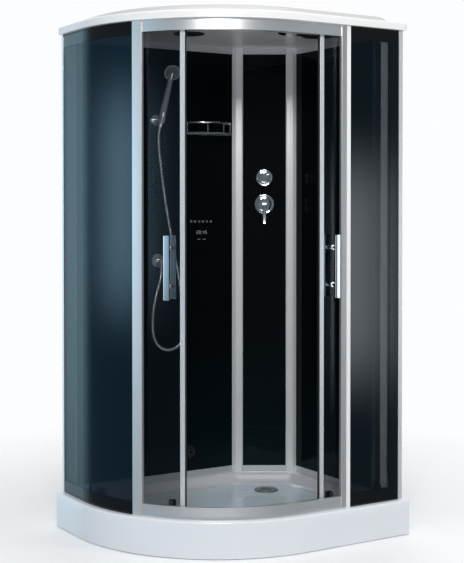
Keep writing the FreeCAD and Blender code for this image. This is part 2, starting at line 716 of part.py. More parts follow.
def make_column(index):
    """A corner column: its front stands proud of the glass and its back is cut to the wall it meets."""
    s0 = -6.0 if index == 0 else CORNER_LENGTH - COLUMN_W
    s1 = COLUMN_W if index == 0 else CORNER_LENGTH + 6.0
    column = corner_box(s0, s1, -COLUMN_BACK, COLUMN_PROUD, RIM_Z, CEILING_Z)
    column = round_edges(column, COLUMN_ROUND, lambda edge: upright(edge) and into_cabin(edge))
    rear = box(-HALF_L, CORNER_ON_REAR + SEAT_GAP, REAR_FACE - WALL_FRAME_PROUD - SEAT_GAP, HALF_D, 0, ROOF_TOP)
    rear_back = box(-HALF_L, HALF_L, REAR_FACE + WALL_FRAME_D, HALF_D + 50, 0, ROOF_TOP)
    side = box(SIDE_FACE - WALL_FRAME_PROUD - SEAT_GAP, HALF_L, -HALF_D, CORNER_ON_SIDE + SEAT_GAP, 0, ROOF_TOP)
    return column.cut(rear).cut(rear_back).cut(side)


def into_cabin(edge):
    local = edge.CenterOfMass - CORNER_A
    a = math.radians(CORNER_DEG)
    return -(local.x * math.sin(a) + local.y * math.cos(a)) > 0


def make_corner_frame():
    members = []
    for z in (RIM_Z, HEAD_Z):
        members.append(corner_box(PANEL_S0, PANEL_S1, -COLUMN_BACK, WALL_FRAME_PROUD, z, z + WALL_FRAME_H))
    return members


def make_corner_panel():
    panel = corner_box(PANEL_S0, PANEL_S1, -WALL_GLASS_T, 0, RIM_Z + WALL_FRAME_H + SEAT_GAP, HEAD_Z - SEAT_GAP)
    for z in (MIXER_Z, DIVERTER_Z):
        panel = panel.cut(corner_rod(CORNER_MID, z, -20, 20, STEM_R + 4))
    return panel


# ---------------------------------------------------------------- roof and ceiling
ROOF_EDGE = 8.0
ROOF_SHELL = 5.0
ROOF_SHOULDER = 62.0
ROOF_CROWN = 98.0
ROOF_FLANGE = 4.0
OPENING_OFFSET = RAIL_PLATE_REACH
CEILING_REAR = REAR_FACE + 18.0
CEILING_SIDE = SIDE_FACE + 18.0


def roof_level(offset, z):
    wire = plan(offset, HALF_D - offset, HALF_L - offset).OuterWire
    return wire.translated(V(0, 0, z))


def roof_solid(inset, z0, z1, z2):
    lip = prism(plan(ROOF_EDGE + inset, HALF_D - ROOF_EDGE - inset, HALF_L - ROOF_EDGE - inset), z0, z1)
    if inset == 0:
        lip = round_edges(lip, TRAY_CORNER_ROUND, upright)
        lip = round_edges(lip, TRAY_EDGE_ROUND, level_at(z1))
    dome = Part.makeLoft([roof_level(ROOF_SHOULDER + inset, z1 - 1), roof_level(ROOF_CROWN + inset, z2)], True, True)
    if inset == 0:
        dome = round_edges(dome, TRAY_EDGE_ROUND, level_at(z2))
    return lip.fuse(dome)


def make_roof():
    shell = roof_solid(0, TOP_Z, TOP_Z + ROOF_LIP, ROOF_TOP)
    inner = roof_solid(ROOF_SHELL, TOP_Z + ROOF_FLANGE, TOP_Z + ROOF_LIP - ROOF_SHELL, ROOF_TOP - ROOF_SHELL)
    opening = prism(plan(OPENING_OFFSET, CEILING_REAR + 1, CEILING_SIDE + 1), TOP_Z - 1, TOP_Z + ROOF_FLANGE + 1)
    return shell.cut(inner).cut(opening)


def ceiling_hole(x, y, radius):
    return Part.makeCylinder(radius, 4 * CEILING_T, V(x, y, CEILING_Z - 2 * CEILING_T))


def make_ceiling_panel():
    offset = OPENING_OFFSET + SEAT_GAP + 0.7
    panel = prism(plan(offset, CEILING_REAR, CEILING_SIDE), CEILING_Z, CEILING_Z + CEILING_T)
    door_zone = track_ring(RIGHT_CENTRE, RIGHT_R, RIGHT_TRACK, 14.0, 60.0, CEILING_Z - 1, CEILING_Z + CEILING_T + 1)
    panel = panel.cut(door_zone)
    riser = corner_point(CORNER_MID, VALVE_DEPTH, 0)
    for x, y, radius in ((VENT_X, VENT_Y, VENT_R - 6), (SPEAKER_X, SPEAKER_Y, SPEAKER_R - 6),
                         (LIGHT_X, LIGHT_Y, LIGHT_R - 6), (RAIN_X, RAIN_Y, RAIN_STEM_R + 2),
                         (riser.x, riser.y, PIPE_R + 2)):
        panel = panel.cut(ceiling_hole(x, y, radius))
    return panel


def make_grille(x, y, radius):
    """Round grille under the ceiling with rings of slots."""
    plate = Part.makeCylinder(radius, GRILLE_T, V(x, y, CEILING_Z - GRILLE_T))
    plate = round_edges(plate, 2.0, level_at(CEILING_Z - GRILLE_T))
    slots = []
    for row in range(-3, 4):
        y_row = row * 15.0
        half = math.sqrt((radius - 12) ** 2 - y_row ** 2)
        slots.append(box(x - half, x + half, y + y_row - 3, y + y_row + 3, CEILING_Z - 10, CEILING_Z + 1))
    return plate.cut(Part.makeCompound(slots))


def make_ceiling_light():
    lens = Part.makeCylinder(LIGHT_R, LIGHT_T, V(LIGHT_X, LIGHT_Y, CEILING_Z - LIGHT_T))
    lens = round_edges(lens, 6.0, level_at(CEILING_Z - LIGHT_T))
    stub = Part.makeCylinder(LIGHT_R - 8, CEILING_T + 8, V(LIGHT_X, LIGHT_Y, CEILING_Z))
    return lens.fuse(stub)


def make_rain_head():
    disc = Part.makeCylinder(RAIN_R, RAIN_T, V(RAIN_X, RAIN_Y, CEILING_Z - RAIN_T - 0.2))
    disc = round_edges(disc, 4.0, level_at(CEILING_Z - RAIN_T - 0.2))
    stem = Part.makeCylinder(RAIN_STEM_R, RAIN_STEM_L, V(RAIN_X, RAIN_Y, CEILING_Z - 0.2))
    return disc.fuse(stem)


FAN_Z = CEILING_Z + CEILING_T


def make_fan_housing():
    wall = 3.0
    ring = Part.makeCylinder(FAN_HOUSING_R, FAN_HOUSING_H, V(VENT_X, VENT_Y, FAN_Z))
    ring = ring.cut(Part.makeCylinder(FAN_HOUSING_R - wall, FAN_HOUSING_H + 2, V(VENT_X, VENT_Y, FAN_Z - 1)))
    bars = []
    for k in range(3):
        bar = Part.makeBox(2 * FAN_HOUSING_R - wall, 8, 4, V(-FAN_HOUSING_R + wall / 2, -4, FAN_Z + FAN_HOUSING_H - 4))
        bar.rotate(V(0, 0, 0), UP, 60 * k)
        bars.append(bar.translated(V(VENT_X, VENT_Y, 0)))
    spindle = Part.makeCylinder(AXLE_R, FAN_HOUSING_H - 8, V(VENT_X, VENT_Y, FAN_Z + 6))
    return fuse([ring] + bars + [spindle])


def make_fan_rotor():
    z0 = FAN_Z + 5
    height = FAN_HOUSING_H - 14
    hub = Part.makeCylinder(FAN_HUB_R, height, V(VENT_X, VENT_Y, z0))
    blades = []
    for k in range(FAN_BLADES):
        blade = Part.makeBox(FAN_R - FAN_HUB_R + 4, 20, 2.4, V(FAN_HUB_R - 4, -10, -1.2))
        blade.rotate(V(0, 0, 0), V(1, 0, 0), 32)
        blade.rotate(V(0, 0, 0), UP, 360.0 / FAN_BLADES * k)
        blades.append(blade.translated(V(VENT_X, VENT_Y, z0 + height / 2)))
    bore = Part.makeCylinder(AXLE_R + RUNNING_GAP, height + 2, V(VENT_X, VENT_Y, z0 + 0.6))
    return fuse([hub] + blades).cut(bore)


# ---------------------------------------------------------------- doors
class Door:
    """One sliding door: everything is placed by its distance along the glass from the free edge."""

    def __init__(self, centre, radius, edge_deg, turn, width_deg):
        self.centre = centre
        self.radius = radius
        self.edge = edge_deg
        self.turn = turn            # -1: the glass lies at smaller angles than its free edge, +1: at larger
        self.width = width_deg
        self.low = RIM_Z + RAIL_PLATE_T + DOOR_BOTTOM_GAP
        self.high = TOP_Z - RAIL_PLATE_T - DOOR_TOP_GAP

    def angle(self, along):
        return self.edge + self.turn * math.degrees(along / self.radius)

    def far_along(self):
        return math.radians(self.width) * self.radius

    def slab(self, along0, along1, inward, outward, z0, z1):
        a, b = sorted((self.angle(along0), self.angle(along1)))
        face = sector(self.centre, self.radius + outward, self.radius - inward, a, b)
        return prism(face, z0, z1)

    def wheel_alongs(self):
        return (WHEEL_SETBACK, self.far_along() - WHEEL_SETBACK)

    def rod(self, along, inward_from, outward_to, z, radius):
        r0 = self.radius - inward_from
        r1 = self.radius + outward_to
        return radial_rod(self.centre, self.angle(along), r0, r1, z, radius)

    def glass(self):
        half = DOOR_GLASS_T / 2
        start = MAGNET_W + EDGE_BAR_W - EDGE_BAR_GRIP
        shape = self.slab(start, self.far_along() - 1, half, half, self.low, self.high)
        holes = []
        for along in self.wheel_alongs():
            holes.append(self.rod(along, 20, 20, WHEEL_Z, BUSH_R + 0.2))
            holes.append(self.rod(along, 20, 20, GUIDE_Z, BUSH_R + 0.2))
        for side in (-1, 1):
            z = HANDLE_Z + side * STUD_SPACING / 2
            holes.append(self.rod(HANDLE_SETBACK, 20, 20, z, STUD_R + 0.3))
        for hole in holes:
            shape = shape.cut(hole)
        return shape

    def edge_profile(self):
        half = EDGE_BAR_T / 2
        bar = self.slab(MAGNET_W, MAGNET_W + EDGE_BAR_W, half, half, self.low, self.high)
        groove = DOOR_GLASS_T / 2 + SEAT_GAP / 2
        deep = MAGNET_W + EDGE_BAR_W - EDGE_BAR_GRIP - SEAT_GAP
        slot = self.slab(deep, MAGNET_W + EDGE_BAR_W + 1, groove, groove, self.low - 1, self.high + 1)
        return bar.cut(slot)

    def seals(self):
        half = MAGNET_T / 2
        magnet = self.slab(0, MAGNET_W - 0.1, half, half, self.low, self.high)
        end = self.far_along()
        inner = DOOR_GLASS_T / 2 + 0.1
        fin = self.slab(end - FIN_T, end, -inner, DOOR_GLASS_T / 2 + FIN_REACH, self.low, self.high)
        return [magnet, fin]

    def handle(self):
        bars = []
        angle = self.angle(HANDLE_SETBACK)
        z0 = HANDLE_Z - HANDLE_LENGTH / 2
        z1 = HANDLE_Z + HANDLE_LENGTH / 2
        for side in (-1, 1):
            middle = self.radius + side * HANDLE_REACH
            bar = radial_box(self.centre, angle, middle - HANDLE_T / 2, middle + HANDLE_T / 2, HANDLE_W / 2, z0, z1)
            bars.append(round_edges(bar, 2.5, upright))
            z = HANDLE_Z + side * STUD_SPACING / 2
            bars.append(self.rod(HANDLE_SETBACK, HANDLE_REACH, HANDLE_REACH, z, STUD_R))
            for face in (-1, 1):
                r0 = self.radius + face * (DOOR_GLASS_T / 2 + SEAT_GAP)
                r1 = r0 + face * 3
                bars.append(radial_rod(self.centre, angle, min(r0, r1), max(r0, r1), z, STUD_R + 4))
        return fuse(bars)

    def hangers(self):
        """Two axle bolts for the top wheels and two guide blocks that straddle the bottom blade."""
        pieces = []
        half = DOOR_GLASS_T / 2
        for along in self.wheel_alongs():
            wheel_in = TRACK_SETBACK + WHEEL_W / 2
            wheel_out = TRACK_SETBACK - WHEEL_W / 2
            bolt = [
                self.rod(along, wheel_in + 1, half + 0.2, WHEEL_Z, AXLE_R),
                self.rod(along, wheel_in + 3.6, -wheel_in - 0.4, WHEEL_Z, AXLE_R + 2.5),
                self.rod(along, wheel_out - 0.4, -half - 0.1, WHEEL_Z, CAP_R - 2),
                self.rod(along, half + 0.2, half + 0.2, WHEEL_Z, BUSH_R),
                self.rod(along, -half - 0.1, half + CAP_T, WHEEL_Z, CAP_R),
            ]
            pieces.append(fuse(bolt))
            block = radial_box(self.centre, self.angle(along), self.radius - TRACK_SETBACK - GUIDE_D / 2,
                               self.radius - TRACK_SETBACK + GUIDE_D / 2, GUIDE_W / 2,
                               BLADE_Z - GUIDE_H / 3, BLADE_Z + 2 * GUIDE_H / 3)
            block = round_edges(block, 3.0, upright)
            slot = track_ring(self.centre, self.radius, sorted((self.angle(along - 30), self.angle(along + 30))),
                              TRACK_T, TRACK_T, BLADE_Z - GUIDE_H, BLADE_Z + 2)
            bush = self.rod(along, TRACK_SETBACK - GUIDE_D / 2 + 2, half + 0.2, GUIDE_Z, BUSH_R)
            cap = self.rod(along, -half - 0.1, half + CAP_T, GUIDE_Z, CAP_R)
            pieces.append(fuse([block.cut(slot), bush, cap]))
        return pieces

    def wheel(self, index):
        along = self.wheel_alongs()[index]
        out = TRACK_SETBACK - WHEEL_W / 2
        tyre = self.rod(along, out + WHEEL_W, -out, WHEEL_Z, WHEEL_R)
        groove = self.rod(along, TRACK_SETBACK + 1.75, -TRACK_SETBACK + 1.75, WHEEL_Z, WHEEL_R + 1)
        core = self.rod(along, TRACK_SETBACK + 1.75, -TRACK_SETBACK + 1.75, WHEEL_Z, WHEEL_GROOVE_R)
        bore = self.rod(along, out + WHEEL_W + 1, -out + 1, WHEEL_Z, AXLE_R + RUNNING_GAP)
        return tyre.cut(groove.cut(core)).cut(bore)


LEFT_DOOR = Door(ARC_CENTRE, LEFT_R, LEFT_EDGE_DEG, -1, LEFT_DOOR_DEG)
RIGHT_DOOR = Door(RIGHT_CENTRE, RIGHT_R, RIGHT_EDGE_DEG, 1, RIGHT_DOOR_DEG)


# ---------------------------------------------------------------- mixer, diverter and pipes
def make_corner_plate(z, radius):
    plate = corner_rod(CORNER_MID, z, SEAT_GAP, PLATE_T, radius)
    return plate.cut(corner_rod(CORNER_MID, z, -1, PLATE_T + 1, STEM_R + 1.5))


def make_valve_body():
    """Brass body behind the corner glass: mixer chamber, diverter chamber and the waterway between them."""
    back = -WALL_GLASS_T - SEAT_GAP
    parts = [
        corner_rod(CORNER_MID, MIXER_Z, back - VALVE_BODY_L, back, VALVE_BODY_R),
        corner_rod(CORNER_MID, DIVERTER_Z, back - VALVE_BODY_L, back, VALVE_BODY_R),
        corner_rod(CORNER_MID, MIXER_Z, back - 1, PLATE_T + 0.6, STEM_R),
        corner_rod(CORNER_MID, DIVERTER_Z, back - 1, PLATE_T + 0.6, STEM_R),
    ]
    middle = corner_point(CORNER_MID, -WALL_GLASS_T - SEAT_GAP - VALVE_BODY_L / 2, MIXER_Z)
    parts.append(rod(middle, middle + V(0, 0, DIVERTER_Z - MIXER_Z), 14))
    return fuse(parts)


def corner_point(s, out, z):
    a = math.radians(CORNER_DEG)
    x = CORNER_A.x + s * math.cos(a) - out * math.sin(a)
    y = CORNER_A.y - s * math.sin(a) - out * math.cos(a)
    return V(x, y, z)


def make_mixer_cap():
    cap = corner_rod(CORNER_MID, MIXER_Z, PLATE_T + 1, PLATE_T + 1 + MIXER_CAP_L, MIXER_CAP_R)
    bore = corner_rod(CORNER_MID, MIXER_Z, PLATE_T, PLATE_T + 2, STEM_R + 0.5)
    slot_out = PLATE_T + 1 + MIXER_CAP_L - 20
    slot = corner_box(CORNER_MID - LEVER_W / 2 - 1, CORNER_MID + LEVER_W / 2 + 1, slot_out, slot_out + 30,
                      MIXER_Z - MIXER_CAP_R - 2, MIXER_Z + 9)
    pin = corner_place(Part.makeCylinder(2.5, 2 * MIXER_CAP_R - 6, V(CORNER_MID - MIXER_CAP_R + 3, -lever_out(), MIXER_Z),
                                         V(1, 0, 0)))
    return fuse([cap.cut(slot).cut(bore), pin])


def lever_out():
    return PLATE_T + 1 + MIXER_CAP_L - 10


def make_mixer_lever():
    """Lever that hangs in the cap's slot on its pin and leans a little into the cabin at its end."""
    out = lever_out()
    root = corner_place(Part.makeCylinder(7.5, LEVER_W, V(CORNER_MID - LEVER_W / 2, -out, MIXER_Z), V(1, 0, 0)))
    blade = box(-LEVER_W / 2, LEVER_W / 2, -LEVER_T / 2, LEVER_T / 2, -LEVER_L, 0)
    blade = round_edges(blade, 3.0, upright)
    blade.rotate(V(0, 0, 0), V(1, 0, 0), -9)
    blade = corner_place(blade.translated(V(CORNER_MID, -out, MIXER_Z)))
    bore = corner_place(Part.makeCylinder(2.5 + RUNNING_GAP, LEVER_W + 2, V(CORNER_MID - LEVER_W / 2 - 1, -out, MIXER_Z),
                                          V(1, 0, 0)))
    return fuse([root, blade]).cut(bore)


def make_diverter_knob():
    knob = corner_rod(CORNER_MID, DIVERTER_Z, PLATE_T + 1, PLATE_T + 1 + KNOB_L, KNOB_R)
    for k in range(8):
        a = math.radians(45 * k)
        s = CORNER_MID + (KNOB_R + 2.5) * math.cos(a)
        z = DIVERTER_Z + (KNOB_R + 2.5) * math.sin(a)
        knob = knob.cut(corner_rod(s, z, PLATE_T + 6, PLATE_T + 3 + KNOB_L, 5))
    bore = corner_rod(CORNER_MID, DIVERTER_Z, PLATE_T, PLATE_T + 2, STEM_R + 0.5)
    return knob.cut(bore)


def tube(points, radius, bend=None):
    """Round bar on straight runs and tangent arcs: of one bend radius, or as large as the runs allow."""
    edges = []
    radii = []
    here = points[0]
    for before, corner, after in zip(points, points[1:], points[2:]):
        into = (corner - before).normalize()
        away = (after - corner).normalize()
        half_turn = into.getAngle(away) / 2
        cut = 0.45 * min(before.distanceToPoint(corner), corner.distanceToPoint(after))
        if bend:
            cut = bend * math.tan(half_turn)
        radii.append(cut / math.tan(half_turn))
        begin = corner - into * cut
        end = corner + away * cut
        inward = (away - into).normalize()
        middle = corner + inward * (radii[-1] / math.cos(half_turn) - radii[-1])
        edges.append(Part.makeLine(here, begin))
        edges.append(Part.Arc(begin, middle, end).toShape())
        here = end
    edges.append(Part.makeLine(here, points[-1]))
    path = Part.Wire(edges)
    section = Part.Wire(Part.makeCircle(radius, points[0], points[1] - points[0]))
    return path.makePipeShell([section], True, True), path.Length, radii


def pipe_run(points):
    return tube(points, PIPE_R, PIPE_BEND)[0]


VALVE_DEPTH = -WALL_GLASS_T - SEAT_GAP - VALVE_BODY_L / 2
INLET_Y = HALF_D - 12.0


def make_supply_pipes():
    """Hot and cold feeds: threaded tails at the rear, copper pipe up to the mixer's two sides."""
    pipes = []
    for side in (-1, 1):
        start_s = CORNER_MID + side * (VALVE_BODY_R + 0.2)
        turn_s = CORNER_MID + side * (VALVE_BODY_R + 22)
        at_valve = corner_point(start_s, VALVE_DEPTH, MIXER_Z)
        turn = corner_point(turn_s, VALVE_DEPTH, MIXER_Z)
        inlet_x = 440.0 + side * INLET_SPACING / 2
        low = V(turn.x, turn.y, INLET_Z)
        across = V(inlet_x, turn.y, INLET_Z) if side > 0 else V(inlet_x, low.y, INLET_Z)
        end = V(inlet_x, INLET_Y - INLET_L, INLET_Z)
        run = pipe_run([at_valve, turn, low, across, end])
        tail = rod(V(inlet_x, INLET_Y - INLET_L - 2, INLET_Z), V(inlet_x, INLET_Y, INLET_Z), INLET_R)
        pipes.append(fuse([run, tail]))
    return pipes


PIPE_LANE_Y = HALF_D - 18.0


def make_outlet_pipes():
    """From the diverter to the hose outlet, and from the diverter up to the overhead shower."""
    back = -WALL_GLASS_T - SEAT_GAP - VALVE_BODY_L
    out = corner_point(CORNER_MID, back - 0.2, DIVERTER_Z)
    behind = corner_point(CORNER_MID, back - 22, DIVERTER_Z)
    shower = pipe_run([
        out,
        behind,
        V(behind.x, PIPE_LANE_Y, DIVERTER_Z),
        V(OUTLET_X, PIPE_LANE_Y, DIVERTER_Z),
        V(OUTLET_X, PIPE_LANE_Y, OUTLET_Z),
        V(OUTLET_X, REAR_FACE + WALL_GLASS_T + 14, OUTLET_Z),
    ])
    top = corner_point(CORNER_MID, VALVE_DEPTH, DIVERTER_Z + VALVE_BODY_R + 0.2)
    high = TOP_Z + ROOF_LIP - 14
    rain = pipe_run([
        top,
        V(top.x, top.y, high),
        V(RAIN_X, top.y, high),
        V(RAIN_X, RAIN_Y, high),
    ])
    down = rod(V(RAIN_X, RAIN_Y, high), V(RAIN_X, RAIN_Y, CEILING_Z + RAIN_STEM_L), RAIN_STEM_R)
    return [shower, rain.fuse(down)]


# ---------------------------------------------------------------- hose outlet, holder, handset and hose
def make_hose_outlet():
    plate = Part.makeCylinder(OUTLET_PLATE_R, 5, V(OUTLET_X, REAR_FACE - SEAT_GAP, OUTLET_Z), V(0, -1, 0))
    plate = round_edges(plate, 2.0, lambda edge: edge.CenterOfMass.y < REAR_FACE - 4)
    arm = tube([
        V(OUTLET_X, REAR_FACE + WALL_GLASS_T + 13.5, OUTLET_Z),
        V(OUTLET_X, REAR_FACE - OUTLET_REACH, OUTLET_Z),
        V(OUTLET_X, REAR_FACE - OUTLET_REACH, OUTLET_Z - NIPPLE_L),
    ], NIPPLE_R, NIPPLE_R + 1)[0]
    return fuse([plate, arm])


LEAN = HANDSET_LEAN.normalize()
FACE = HANDSET_FACE.normalize()
CLIP = V(HOLDER_X, REAR_FACE - CLIP_OUT, HOLDER_Z)


def along_handset(t):
    return CLIP + LEAN * t


def make_shower_holder():
    plate = Part.makeCylinder(HOLDER_PLATE_R, 7, V(CLIP.x, REAR_FACE - SEAT_GAP, CLIP.z), V(0, -1, 0))
    arm = rod(V(CLIP.x, REAR_FACE - 5, CLIP.z), CLIP + V(0, 6, 0), 9)
    clip = rod(along_handset(-CLIP_H / 2), along_handset(CLIP_H / 2), CLIP_R)
    bore = rod(along_handset(-CLIP_H), along_handset(CLIP_H), CLIP_BORE_R)
    mouth = Part.makeBox(16, 40, 3 * CLIP_H, V(-8, -40, -1.5 * CLIP_H))
    tilt = math.degrees(math.acos(LEAN.z))
    mouth.rotate(V(0, 0, 0), V(1, 0, 0), tilt)
    mouth.translate(CLIP)
    return fuse([plate, arm, clip]).cut(bore).cut(mouth)


def make_handset():
    """Handle with a flared butt that seats in the clip, a neck and a round tilted head."""
    butt = Part.makeCone(HANDSET_BUTT_R - 1, HANDSET_BUTT_R, 22, along_handset(CLIP_H / 2 + SEAT_GAP), LEAN)
    tail = rod(along_handset(-CLIP_H / 2 - TAIL_L), along_handset(CLIP_H / 2 + 2), HANDLE_NECK_R - 0.4)
    grip = Part.makeCone(HANDSET_BUTT_R, HANDLE_NECK_R - 2, HANDSET_LENGTH - 40, along_handset(CLIP_H / 2 + 22), LEAN)
    centre = along_handset(HANDSET_LENGTH) + FACE * 6
    neck = rod(along_handset(HANDSET_LENGTH - 42), centre - FACE * 4, HANDLE_NECK_R - 1.6)
    back = Part.makeCone(HEAD_R * 0.55, HEAD_R, HEAD_T, centre - FACE * HEAD_T, FACE)
    face = Part.makeCylinder(HEAD_R, 6, centre, FACE)
    nut = Part.makeCone(HANDLE_NECK_R - 1, HOSE_NUT_R, HOSE_NUT_L, along_handset(-CLIP_H / 2 - TAIL_L + 1), LEAN * -1)
    return fuse([butt, tail, grip, neck, back, face, nut])


HOSE_START_T = -CLIP_H / 2 - TAIL_L + 1 - HOSE_NUT_L - HOSE_GAP
HOSE_START = along_handset(HOSE_START_T)
HOSE_STOP = V(OUTLET_X, REAR_FACE - OUTLET_REACH, OUTLET_Z - NIPPLE_L - HOSE_GAP)


def make_hose():
    hose, length, radii = tube([HOSE_START, along_handset(HOSE_START_T - 40)] + HOSE_ROUTE + [HOSE_STOP], HOSE_R)
    print("hose length %.0f, radii %s" % (length, " ".join("%.0f" % r for r in radii)))
    print("hose volume over section times length %.4f" % (hose.Volume / (math.pi * HOSE_R ** 2 * length)))
    return hose


# ---------------------------------------------------------------- steam, controls and shelf
def make_steam_outlet():
    base = Part.makeCylinder(STEAM_OUTLET_R, 8, V(STEAM_X, REAR_FACE - SEAT_GAP, STEAM_Z), V(0, -1, 0))
    hood = Part.makeCone(STEAM_OUTLET_R - 4, 17, 16, V(STEAM_X, REAR_FACE - 8, STEAM_Z), V(0, -1, 0))
    tail = rod(V(STEAM_X, REAR_FACE - 4, STEAM_Z), V(STEAM_X, REAR_FACE + WALL_GLASS_T + 10, STEAM_Z), STEAM_PIPE_R)
    bore = rod(V(STEAM_X, REAR_FACE - 40, STEAM_Z), V(STEAM_X, REAR_FACE + 30, STEAM_Z), STEAM_PIPE_R - 3)
    return fuse([base, hood, tail]).cut(bore)


GENERATOR_X = 520.0
GENERATOR_Y = 372.0


def make_steam_generator():
    """Tank in the void behind the corner, on two straps that reach the floor of the void."""
    x0 = GENERATOR_X - GENERATOR_W / 2
    y0 = GENERATOR_Y - GENERATOR_D / 2
    case = box(x0, x0 + GENERATOR_W, y0, y0 + GENERATOR_D, GENERATOR_Z, GENERATOR_Z + GENERATOR_H)
    case = round_edges(case, 8.0, upright)
    legs = []
    for x in (x0 + 12, x0 + GENERATOR_W - 16):
        legs.append(box(x, x + 4, y0 + 20, y0 + GENERATOR_D - 20, RIM_Z, GENERATOR_Z + 1))
    spout = rod(V(x0 + 30, y0 + 40, GENERATOR_Z + GENERATOR_H - 1), V(x0 + 30, y0 + 40, GENERATOR_Z + GENERATOR_H + 14), STEAM_PIPE_R)
    return fuse([case, spout] + legs)


def make_steam_pipe():
    x = GENERATOR_X - GENERATOR_W / 2 + 30
    y = GENERATOR_Y - GENERATOR_D / 2 + 40
    top = GENERATOR_Z + GENERATOR_H + 14.2
    high = top + 40
    return tube([
        V(x, y, top),
        V(x, y, high),
        V(x, PIPE_LANE_Y, high),
        V(STEAM_X, PIPE_LANE_Y, high),
        V(STEAM_X, PIPE_LANE_Y, STEAM_Z),
        V(STEAM_X, REAR_FACE + WALL_GLASS_T + 10.3, STEAM_Z),
    ], STEAM_PIPE_R, STEAM_PIPE_R + 1)[0]


def make_control_panel():
    panel = box(PANEL_X - PANEL_W / 2, PANEL_X + PANEL_W / 2, REAR_FACE - PANEL_T - SEAT_GAP, REAR_FACE - SEAT_GAP,
                PANEL_Z - PANEL_H / 2, PANEL_Z + PANEL_H / 2)
    corners = [e for e in panel.Edges if abs(e.Vertexes[0].Point.y - e.Vertexes[-1].Point.y) > 1]
    return panel.makeFillet(10.0, corners)


def make_control_box():
    width, depth, height = CONTROL_BOX
    x0 = PANEL_X - width / 2
    y0 = REAR_FACE + WALL_GLASS_T + SEAT_GAP
    case = box(x0, x0 + width, y0, y0 + depth, PANEL_Z - height / 2, PANEL_Z + height / 2)
    return round_edges(case, 4.0, upright)


def shelf_outline(inset, z, depth):
    half = SHELF_W / 2 - inset
    back = REAR_FACE - SEAT_GAP
    front = back - depth + inset
    square = 18.0
    return [V(SHELF_X - half, back - square, z), V(SHELF_X, front, z), V(SHELF_X + half, back - square, z)], back


def make_shelf():
    (left, mid, right), back = shelf_outline(0, SHELF_Z, SHELF_D)
    edges = [
        Part.makeLine(V(left.x, back, SHELF_Z), left),
        Part.Arc(left, mid, right).toShape(),
        Part.makeLine(right, V(right.x, back, SHELF_Z)),
        Part.makeLine(V(right.x, back, SHELF_Z), V(left.x, back, SHELF_Z)),
    ]
    return Part.Face(Part.Wire(edges)).extrude(V(0, 0, SHELF_T))


def make_shelf_rail():
    """Chrome rail over the shelf's edge on four pegs."""
    z = SHELF_Z + SHELF_RAIL_H
    (left, mid, right), back = shelf_outline(8, z, SHELF_D)
    path = Part.Wire([
        Part.makeLine(V(left.x, back, z), left),
        Part.Arc(left, mid, right).toShape(),
        Part.makeLine(right, V(right.x, back, z)),
    ])
    section = Part.Wire(Part.makeCircle(SHELF_WIRE_R, V(left.x, back, z), V(0, -1, 0)))
    rail = path.makePipeShell([section], True, True)
    pegs = []
    curve = path.Edges[1]
    for share in (0.04, 0.36, 0.64, 0.96):
        at = curve.valueAt(curve.FirstParameter + share * (curve.LastParameter - curve.FirstParameter))
        pegs.append(rod(V(at.x, at.y, SHELF_Z + SHELF_T + SEAT_GAP), V(at.x, at.y, z), SHELF_WIRE_R - 0.8))
    behind = box(left.x - 50, right.x + 50, REAR_FACE - SEAT_GAP, REAR_FACE + 20, z - 20, z + 20)
    return fuse([rail] + pegs).cut(behind)


# ---------------------------------------------------------------- write every piece
parts = {
    "tray": make_tray(),
    "tray_frame": make_tray_frame(),
    "levelling_feet": make_levelling_feet(),
    "drain_trap": make_drain_trap(),
    "drain_cover": make_drain_cover(),
    "bottom_rail": make_bottom_rail(),
    "top_rail": make_top_rail(),
    "left_post": make_post(0),
    "right_post": make_post(1),
    "left_fixed_glass": make_fixed_glass(0),
    "right_fixed_glass": make_fixed_glass(1),
    "edge_profiles": [make_edge_profile(0), make_edge_profile(1)],
    "rear_wall_panel": make_rear_wall_panel(),
    "side_wall_panel": make_side_wall_panel(),
    "corner_panel": make_corner_panel(),
    "rear_wall_frame": make_rear_wall_frame(),
    "side_wall_frame": make_side_wall_frame(),
    "corner_frame": make_corner_frame(),
    "left_column": make_column(0),
    "right_column": make_column(1),
    "roof": make_roof(),
    "ceiling_panel": make_ceiling_panel(),
    "ceiling_grilles": [make_grille(VENT_X, VENT_Y, VENT_R), make_grille(SPEAKER_X, SPEAKER_Y, SPEAKER_R)],
    "ceiling_light": make_ceiling_light(),
    "rain_head": make_rain_head(),
    "fan_housing": make_fan_housing(),
    "fan_rotor": make_fan_rotor(),
    "valve_body": make_valve_body(),
    "mixer_plate": make_corner_plate(MIXER_Z, MIXER_PLATE_R),
    "mixer_cap": make_mixer_cap(),
    "mixer_lever": make_mixer_lever(),
    "diverter_plate": make_corner_plate(DIVERTER_Z, DIVERTER_PLATE_R),
    "diverter_knob": make_diverter_knob(),
    "supply_pipes": make_supply_pipes(),
    "outlet_pipes": make_outlet_pipes(),
    "hose_outlet": make_hose_outlet(),
    "shower_holder": make_shower_holder(),
    "handset": make_handset(),
    "shower_hose": make_hose(),
    "steam_generator": make_steam_generator(),
    "steam_pipe": make_steam_pipe(),
    "steam_outlet": make_steam_outlet(),
    "control_panel": make_control_panel(),
    "control_box": make_control_box(),
    "shelf": make_shelf(),
    "shelf_rail": make_shelf_rail(),
}
for side, door in (("left", LEFT_DOOR), ("right", RIGHT_DOOR)):
    parts[side + "_door_glass"] = door.glass()
    parts[side + "_door_edge"] = door.edge_profile()
    parts[side + "_door_seals"] = door.seals()
    parts[side + "_door_handle"] = door.handle()
    parts[side + "_door_hangers"] = door.hangers()
    parts[side + "_lead_wheel"] = door.wheel(0)
    parts[side + "_trail_wheel"] = door.wheel(1)

